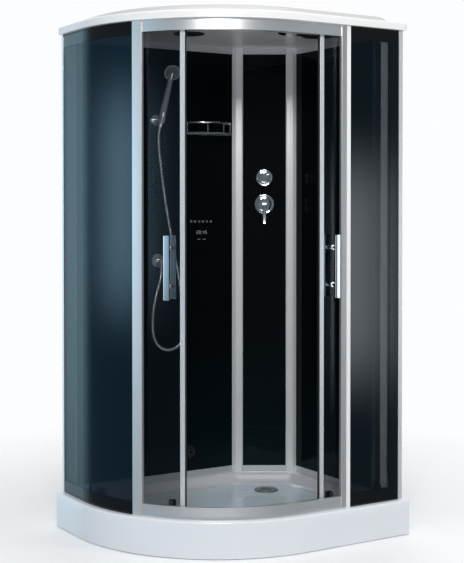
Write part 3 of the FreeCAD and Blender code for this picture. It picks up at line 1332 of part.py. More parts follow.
os.makedirs("parts", exist_ok=True)
for name, shape in parts.items():
    whole = Part.makeCompound(shape) if isinstance(shape, list) else shape
    whole.exportStep("parts/" + name + ".step")
    flag = "" if whole.isValid() and all(s.isValid() for s in whole.Solids) else "  INVALID"
    print("%-20s solids %d volume %.0f cm3%s" % (name, len(whole.Solids), whole.Volume / 1000, flag))
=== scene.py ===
"""Look of a bowed-front steam shower cabin: finishes for its solid pieces and the pieces made here.

Everything is in metres in the cabin's own frame: the origin is the middle of the tray's footprint on the
floor, +Z is up, +Y points at the long wall and +X at the side wall.
"""

import logging
import math
from dataclasses import dataclass, field
from enum import Enum
from typing import Callable, Optional, Sequence

import bmesh
import bpy
import numpy as np
from mathutils import Matrix, Vector


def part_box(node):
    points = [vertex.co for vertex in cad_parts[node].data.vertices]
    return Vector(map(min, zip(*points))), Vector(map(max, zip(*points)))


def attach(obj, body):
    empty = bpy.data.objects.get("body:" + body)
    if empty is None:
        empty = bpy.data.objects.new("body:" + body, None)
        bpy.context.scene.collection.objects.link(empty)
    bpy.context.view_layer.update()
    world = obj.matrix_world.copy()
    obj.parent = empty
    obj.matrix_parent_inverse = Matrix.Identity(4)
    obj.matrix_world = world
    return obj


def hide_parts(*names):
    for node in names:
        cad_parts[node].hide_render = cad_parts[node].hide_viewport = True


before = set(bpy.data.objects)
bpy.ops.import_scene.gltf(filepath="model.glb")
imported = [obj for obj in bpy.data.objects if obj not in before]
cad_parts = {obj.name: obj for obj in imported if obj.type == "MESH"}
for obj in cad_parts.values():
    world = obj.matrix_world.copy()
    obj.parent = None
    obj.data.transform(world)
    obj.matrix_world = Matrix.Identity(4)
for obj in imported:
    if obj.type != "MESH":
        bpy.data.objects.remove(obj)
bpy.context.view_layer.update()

logging.basicConfig(level=logging.INFO, format="%(name)s: %(message)s")
log = logging.getLogger("cabin")

Colour = tuple[float, float, float]
Array = np.ndarray
MM = 0.001

# the cabin's main measures, in metres
TRAY_HALF_LENGTH = 0.600
TRAY_HALF_DEPTH = 0.450
BOW_CENTRE = (0.085, 0.235)
BOW_RADIUS = 0.685
REAR_FACE = 0.400
SIDE_FACE = 0.505
CORNER_START = np.array([0.257, 0.400])
CORNER_STOP = np.array([0.505, 0.249])
CORNER_LENGTH = float(np.linalg.norm(CORNER_STOP - CORNER_START))
CORNER_ALONG = (CORNER_STOP - CORNER_START) / CORNER_LENGTH
CORNER_OUT = np.array([CORNER_ALONG[1], -CORNER_ALONG[0]])

# the hand shower: where it sits in its holder and which way it leans
HOLDER_MM = np.array([-146.0, 342.0, 1752.0])
SHOWER_LEAN = np.array([0.1095, -0.2607, 0.9592]) / np.linalg.norm([0.1095, -0.2607, 0.9592])

# printed borders of the panes
HEAD_PRINT = 2.046
FOOT_PRINT = 0.200
WALL_PRINT = 0.518
PRINT_EDGE = 0.0005


class Along(Enum):
    """Direction in which a drawn or brushed finish runs."""

    X = 0
    Y = 1
    Z = 2


class Body(Enum):
    """Bodies of the cabin that pieces made here ride on."""

    CABIN = "cabin"
    LEFT_DOOR = "left_door"
    RIGHT_DOOR = "right_door"
    MIXER_CAP = "mixer_cap"
    MIXER_LEVER = "mixer_lever"
    DIVERTER = "diverter_knob"
    HANDSET = "handset"


# ------------------------------------------------------------------------ node building
class Recipe:
    """A material being built: thin names over the node tree so that a finish reads as a recipe."""

    def __init__(self, name: str) -> None:
        """Start an empty material with one Principled surface.

        Args:
            name: the material's name.
        """
        self.material = bpy.data.materials.new(name)
        self.material.use_nodes = True
        self.tree = self.material.node_tree
        self.surface = self.tree.nodes["Principled BSDF"]
        self._place = None

    def put(self, socket: str, value: object) -> None:
        """Set or link a socket of the surface.

        Args:
            socket: the socket's name on the Principled surface.
            value: a number, a colour of three numbers, or a node's output.
        """
        target = self.surface.inputs[socket]
        if isinstance(value, bpy.types.NodeSocket):
            self.tree.links.new(value, target)
        elif isinstance(value, (tuple, list)):
            target.default_value = (*value, 1.0)
        else:
            target.default_value = value

    def node(self, kind: str, **settings: object) -> bpy.types.Node:
        """Add a node.

        Args:
            kind: the node's class name after "ShaderNode".
            settings: attributes to set on it.

        Returns:
            The new node.
        """
        made = self.tree.nodes.new("ShaderNode" + kind)
        for key, value in settings.items():
            setattr(made, key, value)
        return made

    def feed(self, node: bpy.types.Node, socket: object, value: object) -> None:
        """Set or link one input of a node.

        Args:
            node: the node.
            socket: its input's name or number.
            value: a number, a colour, a vector or a node's output.
        """
        target = node.inputs[socket]
        if isinstance(value, bpy.types.NodeSocket):
            self.tree.links.new(value, target)
        elif isinstance(value, (tuple, list)) and len(value) == 3 and target.type == "RGBA":
            target.default_value = (*value, 1.0)
        else:
            target.default_value = value

    def place(self) -> bpy.types.NodeSocket:
        """Return the Object coordinates, which equal the cabin's own frame."""
        if self._place is None:
            self._place = self.node("TexCoord").outputs["Object"]
        return self._place

    def axes(self) -> tuple[bpy.types.NodeSocket, ...]:
        """Return x, y and z of the Object coordinates."""
        split = self.node("SeparateXYZ")
        self.feed(split, 0, self.place())
        return tuple(split.outputs[k] for k in range(3))

    def scaled(self, stretch: Sequence[float]) -> bpy.types.NodeSocket:
        """Stretch the coordinates before a pattern reads them.

        Args:
            stretch: a factor for each axis.

        Returns:
            The stretched coordinates.
        """
        mapping = self.node("Mapping")
        self.feed(mapping, "Vector", self.place())
        mapping.inputs["Scale"].default_value = stretch
        return mapping.outputs[0]

    def noise(self, scale: float, detail: float = 3.0, rough: float = 0.5,
              where: Optional[bpy.types.NodeSocket] = None) -> bpy.types.NodeSocket:
        """Return a noise value from 0 to 1.

        Args:
            scale: lumps per metre.
            detail: octaves.
            rough: strength of the finer octaves.
            where: coordinates to read instead of the plain ones.
        """
        made = self.node("TexNoise")
        self.feed(made, "Vector", where or self.place())
        made.inputs["Scale"].default_value = scale
        made.inputs["Detail"].default_value = detail
        made.inputs["Roughness"].default_value = rough
        return made.outputs[0]

    def ramp(self, value: bpy.types.NodeSocket, low: float, high: float,
             start: float = 0.0, stop: float = 1.0) -> bpy.types.NodeSocket:
        """Return a value remapped from start..stop to low..high, held at both ends."""
        made = self.node("MapRange")
        made.inputs["From Min"].default_value = start
        made.inputs["From Max"].default_value = stop
        made.inputs["To Min"].default_value = low
        made.inputs["To Max"].default_value = high
        self.feed(made, "Value", value)
        return made.outputs[0]

    def math(self, operation: str, a: object, b: object = 0.0) -> bpy.types.NodeSocket:
        """Return one arithmetic step on two values."""
        made = self.node("Math", operation=operation)
        self.feed(made, 0, a)
        self.feed(made, 1, b)
        return made.outputs[0]

    def mix(self, amount: object, a: object, b: object) -> bpy.types.NodeSocket:
        """Return colour a turned towards colour b."""
        made = self.node("Mix", data_type="RGBA")
        self.feed(made, 0, amount)
        self.feed(made, 6, a)
        self.feed(made, 7, b)
        return made.outputs[2]

    def bump(self, height: bpy.types.NodeSocket, depth: float, strength: float = 1.0) -> None:
        """Raise the surface by a height pattern.

        Args:
            height: the pattern, from 0 to 1.
            depth: the relief in metres.
            strength: how strongly it shades.
        """
        made = self.node("Bump")
        made.inputs["Strength"].default_value = strength
        made.inputs["Distance"].default_value = depth
        self.feed(made, "Height", height)
        self.put("Normal", made.outputs[0])


# ------------------------------------------------------------------------ finishes
@dataclass(frozen=True)
class Gloss:
    """Moulded or painted plastic with an even gloss."""

    name: str
    colour: Colour
    roughness: float = 0.18
    coat: float = 0.0
    mottle: float = 0.03
    texture_depth: float = 0.00005
    texture_scale: float = 300.0

    def make(self) -> bpy.types.Material:
        """Build the material."""
        recipe = Recipe(self.name)
        cloud = recipe.noise(6.0, 4.0)
        darker = tuple(c * (1.0 - self.mottle) for c in self.colour)
        recipe.put("Base Color", recipe.mix(cloud, darker, self.colour))
        cloud = recipe.noise(35.0, 5.0)
        recipe.put("Roughness", recipe.ramp(cloud, self.roughness * 0.8, self.roughness * 1.25))
        recipe.put("Coat Weight", self.coat)
        recipe.bump(recipe.noise(self.texture_scale, 2.0), self.texture_depth, 0.35)
        return recipe.material


@dataclass(frozen=True)
class RoofAcrylic:
    """The roof's acrylic: white on the lip, with painted shade on the crown above it, which is painted greyer
    and warmer than the lip.
    """

    name: str
    lip: Colour = (0.84, 0.83, 0.82)
    # painted shade: the crown's colour stands in for the shade on the roof's top
    crown: Colour = (0.56, 0.545, 0.54)
    shade_from: float = 2.132

    def make(self) -> bpy.types.Material:
        """Build the material."""
        recipe = Recipe(self.name)
        # from this height upwards the colour is the crown's painted shade
        raised = recipe.ramp(recipe.axes()[2], 0.0, 1.0, self.shade_from, self.shade_from + 0.004)
        recipe.put("Base Color", recipe.mix(raised, self.lip, self.crown))
        recipe.put("Roughness", recipe.ramp(recipe.noise(2.0), 0.25, 0.27))
        recipe.put("Coat Weight", 0.2)
        return recipe.material


@dataclass(frozen=True)
class Metal:
    """Drawn, brushed or polished metal."""

    name: str
    colour: Colour
    roughness: float
    along: Along = Along.Z
    grain: float = 0.25
    grain_depth: float = 0.00002
    metallic: float = 1.0

    def make(self) -> bpy.types.Material:
        """Build the material: fine lines along the drawing direction vary the gloss and the relief."""
        recipe = Recipe(self.name)
        stretch = [1.0, 1.0, 1.0]
        stretch[self.along.value] = 0.01
        lines = recipe.noise(1400.0, 3.0, 0.6, recipe.scaled(stretch))
        cloud = recipe.noise(9.0, 3.0)
        darker = tuple(c * 0.93 for c in self.colour)
        recipe.put("Base Color", recipe.mix(cloud, darker, self.colour))
        recipe.put("Metallic", self.metallic)
        low = self.roughness * (1.0 - self.grain)
        recipe.put("Roughness", recipe.ramp(lines, low, self.roughness * (1.0 + self.grain)))
        recipe.bump(lines, self.grain_depth, 0.25)
        return recipe.material


@dataclass(frozen=True)
class HighlightStripPost:
    """Satin aluminium post with a painted highlight: a near-white, mostly diffuse strip along the edge that
    holds the flat pane.
    """

    name: str
    highlight_from: float
    colour: Colour = (0.80, 0.775, 0.745)
    # painted highlight: the near-white colour of the strip
    bead: Colour = (0.97, 0.97, 0.97)

    def make(self) -> bpy.types.Material:
        """Build the material; the painted highlight strip starts at the given place along X and covers the
        post beyond it.
        """
        recipe = Recipe(self.name)
        x = recipe.axes()[0]
        on_highlight = recipe.ramp(x, 0.0, 1.0, self.highlight_from - 0.0004, self.highlight_from + 0.0004)
        lines = recipe.noise(1400.0, 3.0, 0.6, recipe.scaled((1.0, 1.0, 0.01)))
        # painted highlight: near-white and little metal on the strip
        recipe.put("Base Color", recipe.mix(on_highlight, self.colour, self.bead))
        recipe.put("Metallic", recipe.ramp(on_highlight, 0.85, 0.15))
        recipe.put("Roughness", recipe.ramp(lines, 0.27, 0.42))
        recipe.bump(lines, 0.00002, 0.25)
        return recipe.material


@dataclass(frozen=True)
class TintedPane:
    """Smoked safety glass, clear enough to see through, with an opaque printed border where one is given."""

    name: str
    tint: Colour
    cover: float = 0.62
    border: Optional[Callable[[Recipe], bpy.types.NodeSocket]] = None

    def make(self) -> bpy.types.Material:
        """Build the material: the tint covers a share of what lies behind and the border covers all of it."""
        recipe = Recipe(self.name)
        streak = recipe.noise(3.0, 2.0, 0.5, recipe.scaled((1.0, 1.0, 0.25)))
        cover = recipe.ramp(streak, self.cover - 0.02, self.cover + 0.02)
        lighter = tuple(c * 1.25 for c in self.tint)
        colour = recipe.mix(streak, self.tint, lighter)
        if self.border is not None:
            edge = self.border(recipe)
            colour = recipe.mix(edge, colour, (0.004, 0.005, 0.006))
            cover = recipe.math("MAXIMUM", cover, edge)
        recipe.put("Base Color", colour)
        recipe.put("Alpha", cover)
        recipe.put("Roughness", recipe.ramp(recipe.noise(2.0), 0.015, 0.03))
        recipe.put("IOR", 1.5)
        recipe.material.surface_render_method = "BLENDED"
        return recipe.material


@dataclass(frozen=True)
class BackPaintedGlass:
    """Black glass painted on its back: a mirror-smooth dark face."""

    name: str
    colour: Colour = (0.0035, 0.0045, 0.0055)

    def make(self) -> bpy.types.Material:
        """Build the material, a little bluer towards the floor: a painted reflection of bluish light on the
        walls' lower part.
        """
        recipe = Recipe(self.name)
        height = recipe.axes()[2]
        # painted reflection: bluish towards the floor, from 0.9 m down to 0.2 m
        painted_low_reflection = recipe.mix(recipe.ramp(height, 1.0, 0.0, 0.2, 0.9), self.colour, (0.003, 0.010, 0.014))
        recipe.put("Base Color", painted_low_reflection)
        recipe.put("Roughness", recipe.ramp(recipe.noise(1.5), 0.02, 0.035))
        recipe.put("IOR", 1.45)
        recipe.put("Specular IOR Level", 0.12)
        return recipe.material


def printed_left_border(recipe: Recipe) -> bpy.types.NodeSocket:
    """Return the black print at the head and foot of the bowed fixed pane."""
    height = recipe.axes()[2]
    head = recipe.ramp(height, 0.0, 1.0, HEAD_PRINT - PRINT_EDGE, HEAD_PRINT + PRINT_EDGE)
    foot = recipe.ramp(height, 1.0, 0.0, FOOT_PRINT - PRINT_EDGE, FOOT_PRINT + PRINT_EDGE)
    return recipe.math("MAXIMUM", head, foot)


def printed_right_border(recipe: Recipe) -> bpy.types.NodeSocket:
    """Return the black print at the head, foot and wall side of the flat fixed pane."""
    side = recipe.ramp(recipe.axes()[0], 0.0, 1.0, WALL_PRINT - PRINT_EDGE, WALL_PRINT + PRINT_EDGE)
    return recipe.math("MAXIMUM", printed_left_border(recipe), side)


@dataclass(frozen=True)
class TrayAcrylic:
    """White sanitary acrylic, smooth on the skirt and rim, pebbled against slipping on the basin's floor."""

    name: str = "white_acrylic"
    colour: Colour = (0.80, 0.82, 0.85)
    pitch: float = 0.011

    def make(self) -> bpy.types.Material:
        """Build the material: rows of small raised dots where the surface's attribute says basin floor, and
        painted bluish shade on the floor between them.
        """
        recipe = Recipe(self.name)
        floor = recipe.node("Attribute", attribute_name="tread").outputs["Fac"]
        pebble = recipe.node("TexVoronoi", feature="F1")
        pebble.inputs["Randomness"].default_value = 0.12
        recipe.feed(pebble, "Vector", recipe.place())
        pebble.inputs["Scale"].default_value = 1.0 / self.pitch
        relief = recipe.ramp(pebble.outputs[0], 1.0, 0.0, 0.12, 0.42)
        cloud = recipe.noise(4.0, 4.0)
        shade = recipe.mix(cloud, tuple(c * 0.97 for c in self.colour), self.colour)
        # painted shade: the basin floor between the dots is turned bluish
        hollow = recipe.math("MULTIPLY", floor, recipe.ramp(relief, 1.0, 0.0, 0.2, 0.8))
        recipe.put("Base Color", recipe.mix(hollow, shade, (0.74, 0.90, 1.0)))
        recipe.put("Roughness", recipe.ramp(floor, 0.12, 0.34))
        recipe.put("Coat Weight", 0.3)
        recipe.put("Coat Roughness", 0.06)
        recipe.bump(recipe.math("MULTIPLY", relief, floor), 0.0008, 0.9)
        return recipe.material


# ------------------------------------------------------------------------ mesh building
def closed_mesh(name: str, points: Array, faces: Sequence, material: bpy.types.Material,
                smooth: bool = True, sharp: float = 35.0) -> bpy.types.Object:
    """Make an object from points and faces.

    Args:
        name: the object's name.
        points: an array of n by 3 coordinates in metres.
        faces: the vertex numbers of each face.
        material: the finish.
        smooth: whether its faces shade smoothly.
        sharp: the angle in degrees from which an edge stays sharp.

    Returns:
        The linked object, at the origin.
    """
    mesh = bpy.data.meshes.new(name)
    mesh.from_pydata(points.tolist(), [], [list(face) for face in faces])
    mesh.polygons.foreach_set("use_smooth", np.full(len(mesh.polygons), smooth))
    mesh.set_sharp_from_angle(angle=math.radians(sharp))
    mesh.materials.append(material)
    made = bpy.data.objects.new(name, mesh)
    bpy.context.scene.collection.objects.link(made)
    return made


def ring_faces(rows: int, columns: int) -> Array:
    """Return the quads between rows of a ring of points, row by row."""
    row, place = np.meshgrid(np.arange(rows - 1), np.arange(columns), indexing="ij")
    start = (row * columns).ravel()
    place = place.ravel()
    after = (place + 1) % columns
    return np.stack([start + place, start + after, start + columns + after, start + columns + place], axis=1)


def looped_faces(rows: int, columns: int) -> Array:
    """Return the faces of rows of a ring where the last row joins the first one again."""
    return ring_faces(rows + 1, columns) % (rows * columns)


def capped_faces(rows: int, columns: int) -> list[list[int]]:
    """Return the faces of rows of a ring, closed by a fan at each end.

    The two end points come after the rows, first the foot's and then the top's. The faces look outwards where
    each ring turns anticlockwise as seen from the top.
    """
    count = rows * columns
    base = count - columns
    faces = ring_faces(rows, columns).tolist()
    faces += [[count, (k + 1) % columns, k] for k in range(columns)]
    faces += [[count + 1, base + k, base + (k + 1) % columns] for k in range(columns)]
    return faces


def frames_along(path: Array) -> tuple[Array, Array, Array]:
    """Return the tangent and two normals at each point of a path, turned as little as possible along it.

    The first normal is any one square to the first tangent; each next one is the last with its part along the
    new tangent taken away.
    """
    step = np.gradient(path, axis=0)
    tangent = step / np.linalg.norm(step, axis=1, keepdims=True)
    normal = np.empty_like(path)
    start = np.cross(tangent[0], (0.0, 0.0, 1.0))
    if np.linalg.norm(start) < 1e-3:
        start = np.cross(tangent[0], (1.0, 0.0, 0.0))
    normal[0] = start / np.linalg.norm(start)
    for k in range(1, len(path)):
        carried = normal[k - 1] - tangent[k] * np.dot(normal[k - 1], tangent[k])
        normal[k] = carried / np.linalg.norm(carried)
    return tangent, normal, np.cross(tangent, normal)


def swept_tube(name: str, path: Array, radius: Array, material: bpy.types.Material,
               sides: int = 16) -> bpy.types.Object:
    """Carry a circle of changing radius along a path and close both ends.

    Point (i, j) is path[i] + radius[i] * (cos(a_j) * normal[i] + sin(a_j) * binormal[i]).
    """
    _, normal, across = frames_along(path)
    angle = np.linspace(0.0, 2 * math.pi, sides, endpoint=False)
    cosine, sine = np.cos(angle)[None, :, None], np.sin(angle)[None, :, None]
    ring = cosine * normal[:, None, :] + sine * across[:, None, :]
    points = path[:, None, :] + radius[:, None, None] * ring
    everything = np.concatenate([points.reshape(-1, 3), path[:1], path[-1:]])
    return closed_mesh(name, everything, capped_faces(len(path), sides), material, sharp=180.0)


@dataclass(frozen=True)
class Axis:
    """A place and the direction that a turned piece stands on."""

    origin: Sequence[float]
    out: Sequence[float]

    def basis(self) -> tuple[Array, Array, Array, Array]:
        """Return the origin, the outward direction and two directions square to it."""
        out = np.array(self.out) / np.linalg.norm(self.out)
        side = np.cross((0.0, 0.0, 1.0), out)
        side = side / np.linalg.norm(side)
        return np.array(self.origin), out, side, np.cross(out, side)


def turned(name: str, axis: Axis, profile: Sequence[tuple[float, float]], material: bpy.types.Material,
           sides: int = 72) -> bpy.types.Object:
    """Turn a profile round an axis; it starts and ends on the axis, so the piece is closed.

    Args:
        name: the object's name.
        axis: where it stands.
        profile: (radius, distance along the axis) in metres, from the foot's middle round to the top's.
        material: the finish.
        sides: points round the piece.
    """
    origin, out, side, up = axis.basis()
    angle = np.linspace(0.0, 2 * math.pi, sides, endpoint=False)
    ring = np.cos(angle)[:, None] * side + np.sin(angle)[:, None] * up
    rows = [origin + along * out + radius * ring for radius, along in profile[1:-1]]
    ends = [origin + profile[0][1] * out, origin + profile[-1][1] * out]
    points = np.concatenate(rows + [np.array(ends)])
    return closed_mesh(name, points, capped_faces(len(rows), sides), material)


def arc_profile(centre: tuple[float, float], radius: float, start: float, stop: float,
                steps: int) -> list[tuple[float, float]]:
    """Return points of a circular arc in a profile, its angles in degrees from the radius direction."""
    angle = np.radians(np.linspace(start, stop, steps))
    return [(centre[0] + radius * math.cos(a), centre[1] + radius * math.sin(a)) for a in angle]


SAME_POINT = 1e-5
FLAT_WITHIN = math.radians(1.0)
EDGE_FROM = math.radians(50.0)


def softened(node: str, body: Body, finish: bpy.types.Material, width: float) -> bpy.types.Object:
    """Stand a copy of a solid piece in for it, with its sharp edges rounded.

    The copy's doubled points are joined and its flat facets dissolved, so the rounding only finds real edges.

    Args:
        node: the solid piece.
        body: the body it rides on.
        finish: its finish.
        width: the rounding in metres.
    """
    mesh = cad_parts[node].data.copy()
    work = bmesh.new()
    work.from_mesh(mesh)
    bmesh.ops.remove_doubles(work, verts=work.verts, dist=SAME_POINT)
    bmesh.ops.dissolve_limit(work, angle_limit=FLAT_WITHIN, verts=work.verts, edges=work.edges)
    work.to_mesh(mesh)
    work.free()
    mesh.polygons.foreach_set("use_smooth", np.full(len(mesh.polygons), True))
    mesh.set_sharp_from_angle(angle=EDGE_FROM)
    mesh.materials.clear()
    mesh.materials.append(finish)
    made = bpy.data.objects.new(node + "_soft", mesh)
    bpy.context.scene.collection.objects.link(made)
    rounding = made.modifiers.new("edges", "BEVEL")
    rounding.width = width
    rounding.segments = 3
    rounding.limit_method = "ANGLE"
    rounding.angle_limit = EDGE_FROM
    rounding.harden_normals = True
    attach(made, body.value)
    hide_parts(node)
    return made


# ------------------------------------------------------------------------ the shower hose
@dataclass
class ShowerHose:
    """Metal shower hose from the nut under the hand shower, down in front of the wall and up to its outlet.

    Its route and ends are in millimetres, as they are in the solid model.
    """

    diameter: float = 0.014
    rib_pitch: float = 0.0052
    rib_depth: float = 0.0007
    sides: int = 14
    route: tuple[tuple[float, float, float], ...] = (
        (-139.0, 366.0, 1560.0),
        (-125.0, 366.0, 1452.0),
        (-105.0, 363.0, 1330.0),
        (-81.0, 359.0, 1200.0),
        (-54.0, 357.0, 1070.0),
        (-35.0, 358.0, 950.0),
        (-23.0, 359.0, 862.0),
        (-21.0, 361.0, 789.0),
        (-50.0, 363.0, 746.0),
        (-98.0, 365.0, 730.0),
        (-146.0, 367.0, 748.0),
        (-174.0, 368.0, 792.0),
        (-179.0, 369.0, 862.0),
        (-170.0, 369.0, 940.0),
        (-150.0, 367.0, 1015.0),
        (-135.0, 366.0, 1062.0),
    )
    nut_end: float = -34.3
    straight: float = 40.0
    outlet: tuple[float, float, float] = (-135.0, 366.0, 1099.7)

    def centreline(self) -> Array:
        """Return points along the hose's line, a NURBS curve with the route as control points."""
        start = HOLDER_MM + SHOWER_LEAN * self.nut_end
        away = start - SHOWER_LEAN * self.straight
        points = np.vstack([start, away, np.array(self.route), np.array(self.outlet)]) * MM
        curve = bpy.data.curves.new("hose_line", "CURVE")
        curve.dimensions = "3D"
        spline = curve.splines.new("NURBS")
        spline.points.add(len(points) - 1)
        spline.points.foreach_set("co", np.hstack([points, np.ones((len(points), 1))]).ravel())
        spline.order_u = 3
        spline.use_endpoint_u = True
        spline.resolution_u = 64
        carrier = bpy.data.objects.new("hose_line", curve)
        mesh = bpy.data.meshes.new_from_object(carrier)
        line = np.empty(len(mesh.vertices) * 3)
        mesh.vertices.foreach_get("co", line)
        bpy.data.meshes.remove(mesh)
        bpy.data.objects.remove(carrier)
        return line.reshape(-1, 3)

    def build(self, finish: bpy.types.Material) -> bpy.types.Object:
        """Make the ribbed tube: the radius is the hose's, less a shallow cosine groove every rib pitch."""
        line = self.centreline()
        run = np.concatenate([[0.0], np.cumsum(np.linalg.norm(np.diff(line, axis=0), axis=1))])
        length = float(run[-1])
        count = int(length / (self.rib_pitch / 4)) + 1
        along = np.linspace(0.0, length, count)
        path = np.stack([np.interp(along, run, line[:, k]) for k in range(3)], axis=1)
        groove = 0.5 - 0.5 * np.cos(2 * math.pi * along / self.rib_pitch)
        radius = self.diameter / 2 - self.rib_depth * (1.0 - groove)
        hose = swept_tube("hose_winding", path, radius, finish, self.sides)
        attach(hose, Body.CABIN.value)
        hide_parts("shower_hose")
        return hose


# ------------------------------------------------------------------------ tray and roof
LEVEL = 1e-9
FAR_AWAY = 1e6


@dataclass(frozen=True)
class Outline:
    """A closed plan outline with a bowed corner, at one distance inside the tray's edge.

    Seen from the hub point the outline is a distance for each direction, so a shell's loop is one array.
    """

    inset: float
    rear: float
    side: float
    chamfer: Optional[float] = None
    softness: float = 0.0

    def reach(self, hub: Array, direction: Array) -> Array:
        """Distance from the hub to the outline along each direction.

        The bow and the two straights that run into it are the nearest of two lines and a circle. The rear,
        the side and the cut corner are lines. A power mean of the distances rounds the corners.

        Args:
            hub: the point that the outline is seen from, in metres.
            direction: an array of n by 2 unit vectors.

        Returns:
            An array of n distances.
        """
        far = np.full(len(direction), FAR_AWAY)
        x, y = direction[:, 0], direction[:, 1]
        with np.errstate(divide="ignore", invalid="ignore"):
            left = np.where(x < -LEVEL, (self.inset - TRAY_HALF_LENGTH - hub[0]) / x, far)
            front = np.where(y < -LEVEL, (self.inset - TRAY_HALF_DEPTH - hub[1]) / y, far)
            rear = np.where(y > LEVEL, (self.rear - hub[1]) / y, far)
            side = np.where(x > LEVEL, (self.side - hub[0]) / x, far)
        centre = np.array(BOW_CENTRE)
        radius = BOW_RADIUS - self.inset
        offset = hub - centre
        along = direction @ offset
        root = np.sqrt(np.maximum(along ** 2 - offset @ offset + radius ** 2, 0.0))
        bow = root - along
        hit = hub[None, :] + bow[:, None] * direction
        bow = np.where((hit[:, 0] < centre[0]) & (hit[:, 1] < centre[1]), bow, far)
        sides = [np.minimum(np.minimum(left, front), bow), rear, side]
        if self.chamfer is not None:
            level = -CORNER_OUT @ CORNER_START - self.chamfer
            slope = direction @ -CORNER_OUT
            with np.errstate(divide="ignore"):
                sides.append(np.where(slope > LEVEL, (level + CORNER_OUT @ hub) / slope, far))
        reach = np.stack(sides)
        if self.softness == 0.0:
            return reach.min(axis=0)
        nearest = reach.min(axis=0)
        power = 1.0 / self.softness
        return nearest * ((nearest / reach) ** power).sum(axis=0) ** (-1.0 / power)


def directions(hub: Array, count: int, corners: Sequence[tuple[float, float]]) -> Array:
    """Unit vectors all round a hub, with the exact directions of the given corners among them."""
    angle = np.linspace(0.0, 2 * math.pi, count, endpoint=False)
    exact = [math.atan2(y - hub[1], x - hub[0]) % (2 * math.pi) for x, y in corners]
    angle = np.sort(np.concatenate([angle, exact]))
    return np.stack([np.cos(angle), np.sin(angle)], axis=1)


def loop_points(hub: Array, way: Array, loops: Sequence[tuple[Array, float]]) -> Array:
    """Return the points of level loops, each given by its distances from the hub and its height."""
    points = []
    for reach, height in loops:
        points.append(np.column_stack([hub + reach[:, None] * way, np.full(len(way), height)]))
    return np.concatenate(points)


def bend(start: tuple[float, float], corner: tuple[float, float], stop: tuple[float, float],
         steps: int) -> list[tuple[float, float]]:
    """Points of a quadratic curve that leaves start towards the corner and arrives at stop from it."""
    t = np.linspace(0.0, 1.0, steps)[:, None]
    a, b, c = (np.array(p) for p in (start, corner, stop))
    return [tuple(p) for p in (1 - t) ** 2 * a + 2 * t * (1 - t) * b + t ** 2 * c]


@dataclass
class Tray:
    """White tray: a skirt on all sides, a rounded rim, a deck and a basin that falls softly to its drain."""

    rim: float = 0.147
    floor: float = 0.102
    shell: float = 0.006
    edge: float = 0.009
    margin: float = 0.098
    wall_margin: float = 0.026
    lean: float = 0.034
    drain: tuple[float, float] = (0.288, 0.165)
    hole: float = 0.045
    corner_softness: float = 0.022
    floor_steps: int = 6
    tread_loops: int = 9

    def basin_loops(self) -> list[tuple[float, float]]:
        """Return (inset past the basin's edge, height) from the deck over the soft edge down to the floor."""
        fall = np.array([self.lean, self.floor - self.rim])
        fall = fall / np.linalg.norm(fall)
        top = np.array([0.0, self.rim])
        foot = np.array([self.lean, self.floor])
        over = bend((-0.012, self.rim), tuple(top), tuple(top + fall * 0.014), 7)
        under = bend(tuple(foot - fall * 0.026), tuple(foot), (self.lean + 0.040, self.floor), 9)
        return over + under

    def build(self, finish: bpy.types.Material) -> bpy.types.Object:
        """Make the shell: loops round the drain, from the hole's top edge out to the rim and back beneath."""
        hub = np.array(self.drain)
        length, depth = TRAY_HALF_LENGTH, TRAY_HALF_DEPTH
        way = directions(hub, 900, [(-length, depth), (length, depth), (length, -depth)])
        loops: list[tuple[Array, float]] = []
        hole = np.full(len(way), self.hole)
        basin = self.basin_loops()
        last_inset, _ = basin[-1]
        floor_edge = self.basin_reach(last_inset, hub, way)
        for share in np.linspace(0.0, 1.0, self.floor_steps + 1)[:-1]:
            loops.append((hole * (1 - share) + floor_edge * share, self.floor))
        for inset, height in reversed(basin):
            loops.append((self.basin_reach(inset, hub, way), height))
        for turn in np.linspace(0.0, math.pi / 2, 7):
            inset = self.edge * (1 - math.sin(turn))
            loops.append((self.edge_reach(inset, hub, way), self.rim - self.edge * (1 - math.cos(turn))))
        for inset, height in self.skirt_loops():
            loops.append((self.edge_reach(inset, hub, way), height))
        under = self.shell * 1.2
        for inset, height in basin:
            level = min(height - self.shell, self.rim - self.shell)
            loops.append((self.basin_reach(inset - under, hub, way), level))
        loops.append((hole, self.floor - self.shell))
        faces = looped_faces(len(loops), len(way))[:, ::-1]
        tray = closed_mesh("tray_shell", loop_points(hub, way, loops), faces, finish)
        tread = np.zeros(len(loops) * len(way))
        tread[:self.tread_loops * len(way)] = 1.0
        tray.data.attributes.new("tread", "FLOAT", "POINT").data.foreach_set("value", tread)
        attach(tray, Body.CABIN.value)
        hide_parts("tray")
        return tray

    def skirt_loops(self) -> list[tuple[float, float]]:
        """Return (inset, height) down the skirt's outside, round its foot and up its inside to the deck."""
        deck = self.rim - self.shell
        outside = [(0.0, 0.100), (0.0, 0.060), (0.0, 0.022), (0.0, 0.004), (0.002, 0.002)]
        inside = [(self.shell - 0.001, 0.002), (self.shell, 0.004), (self.shell, deck - 0.002)]
        return outside + inside + [(self.shell + 0.002, deck)]

    def basin_reach(self, inset: float, hub: Array, way: Array) -> Array:
        """Return the basin's outline at one inset past its edge."""
        wall = self.wall_margin + inset
        basin = Outline(self.margin + inset, REAR_FACE - wall, SIDE_FACE - wall, wall, self.corner_softness)
        return basin.reach(hub, way)

    def edge_reach(self, inset: float, hub: Array, way: Array) -> Array:
        """Return the tray's own outline at one inset."""
        return Outline(inset, TRAY_HALF_DEPTH - inset, TRAY_HALF_LENGTH - inset).reach(hub, way)


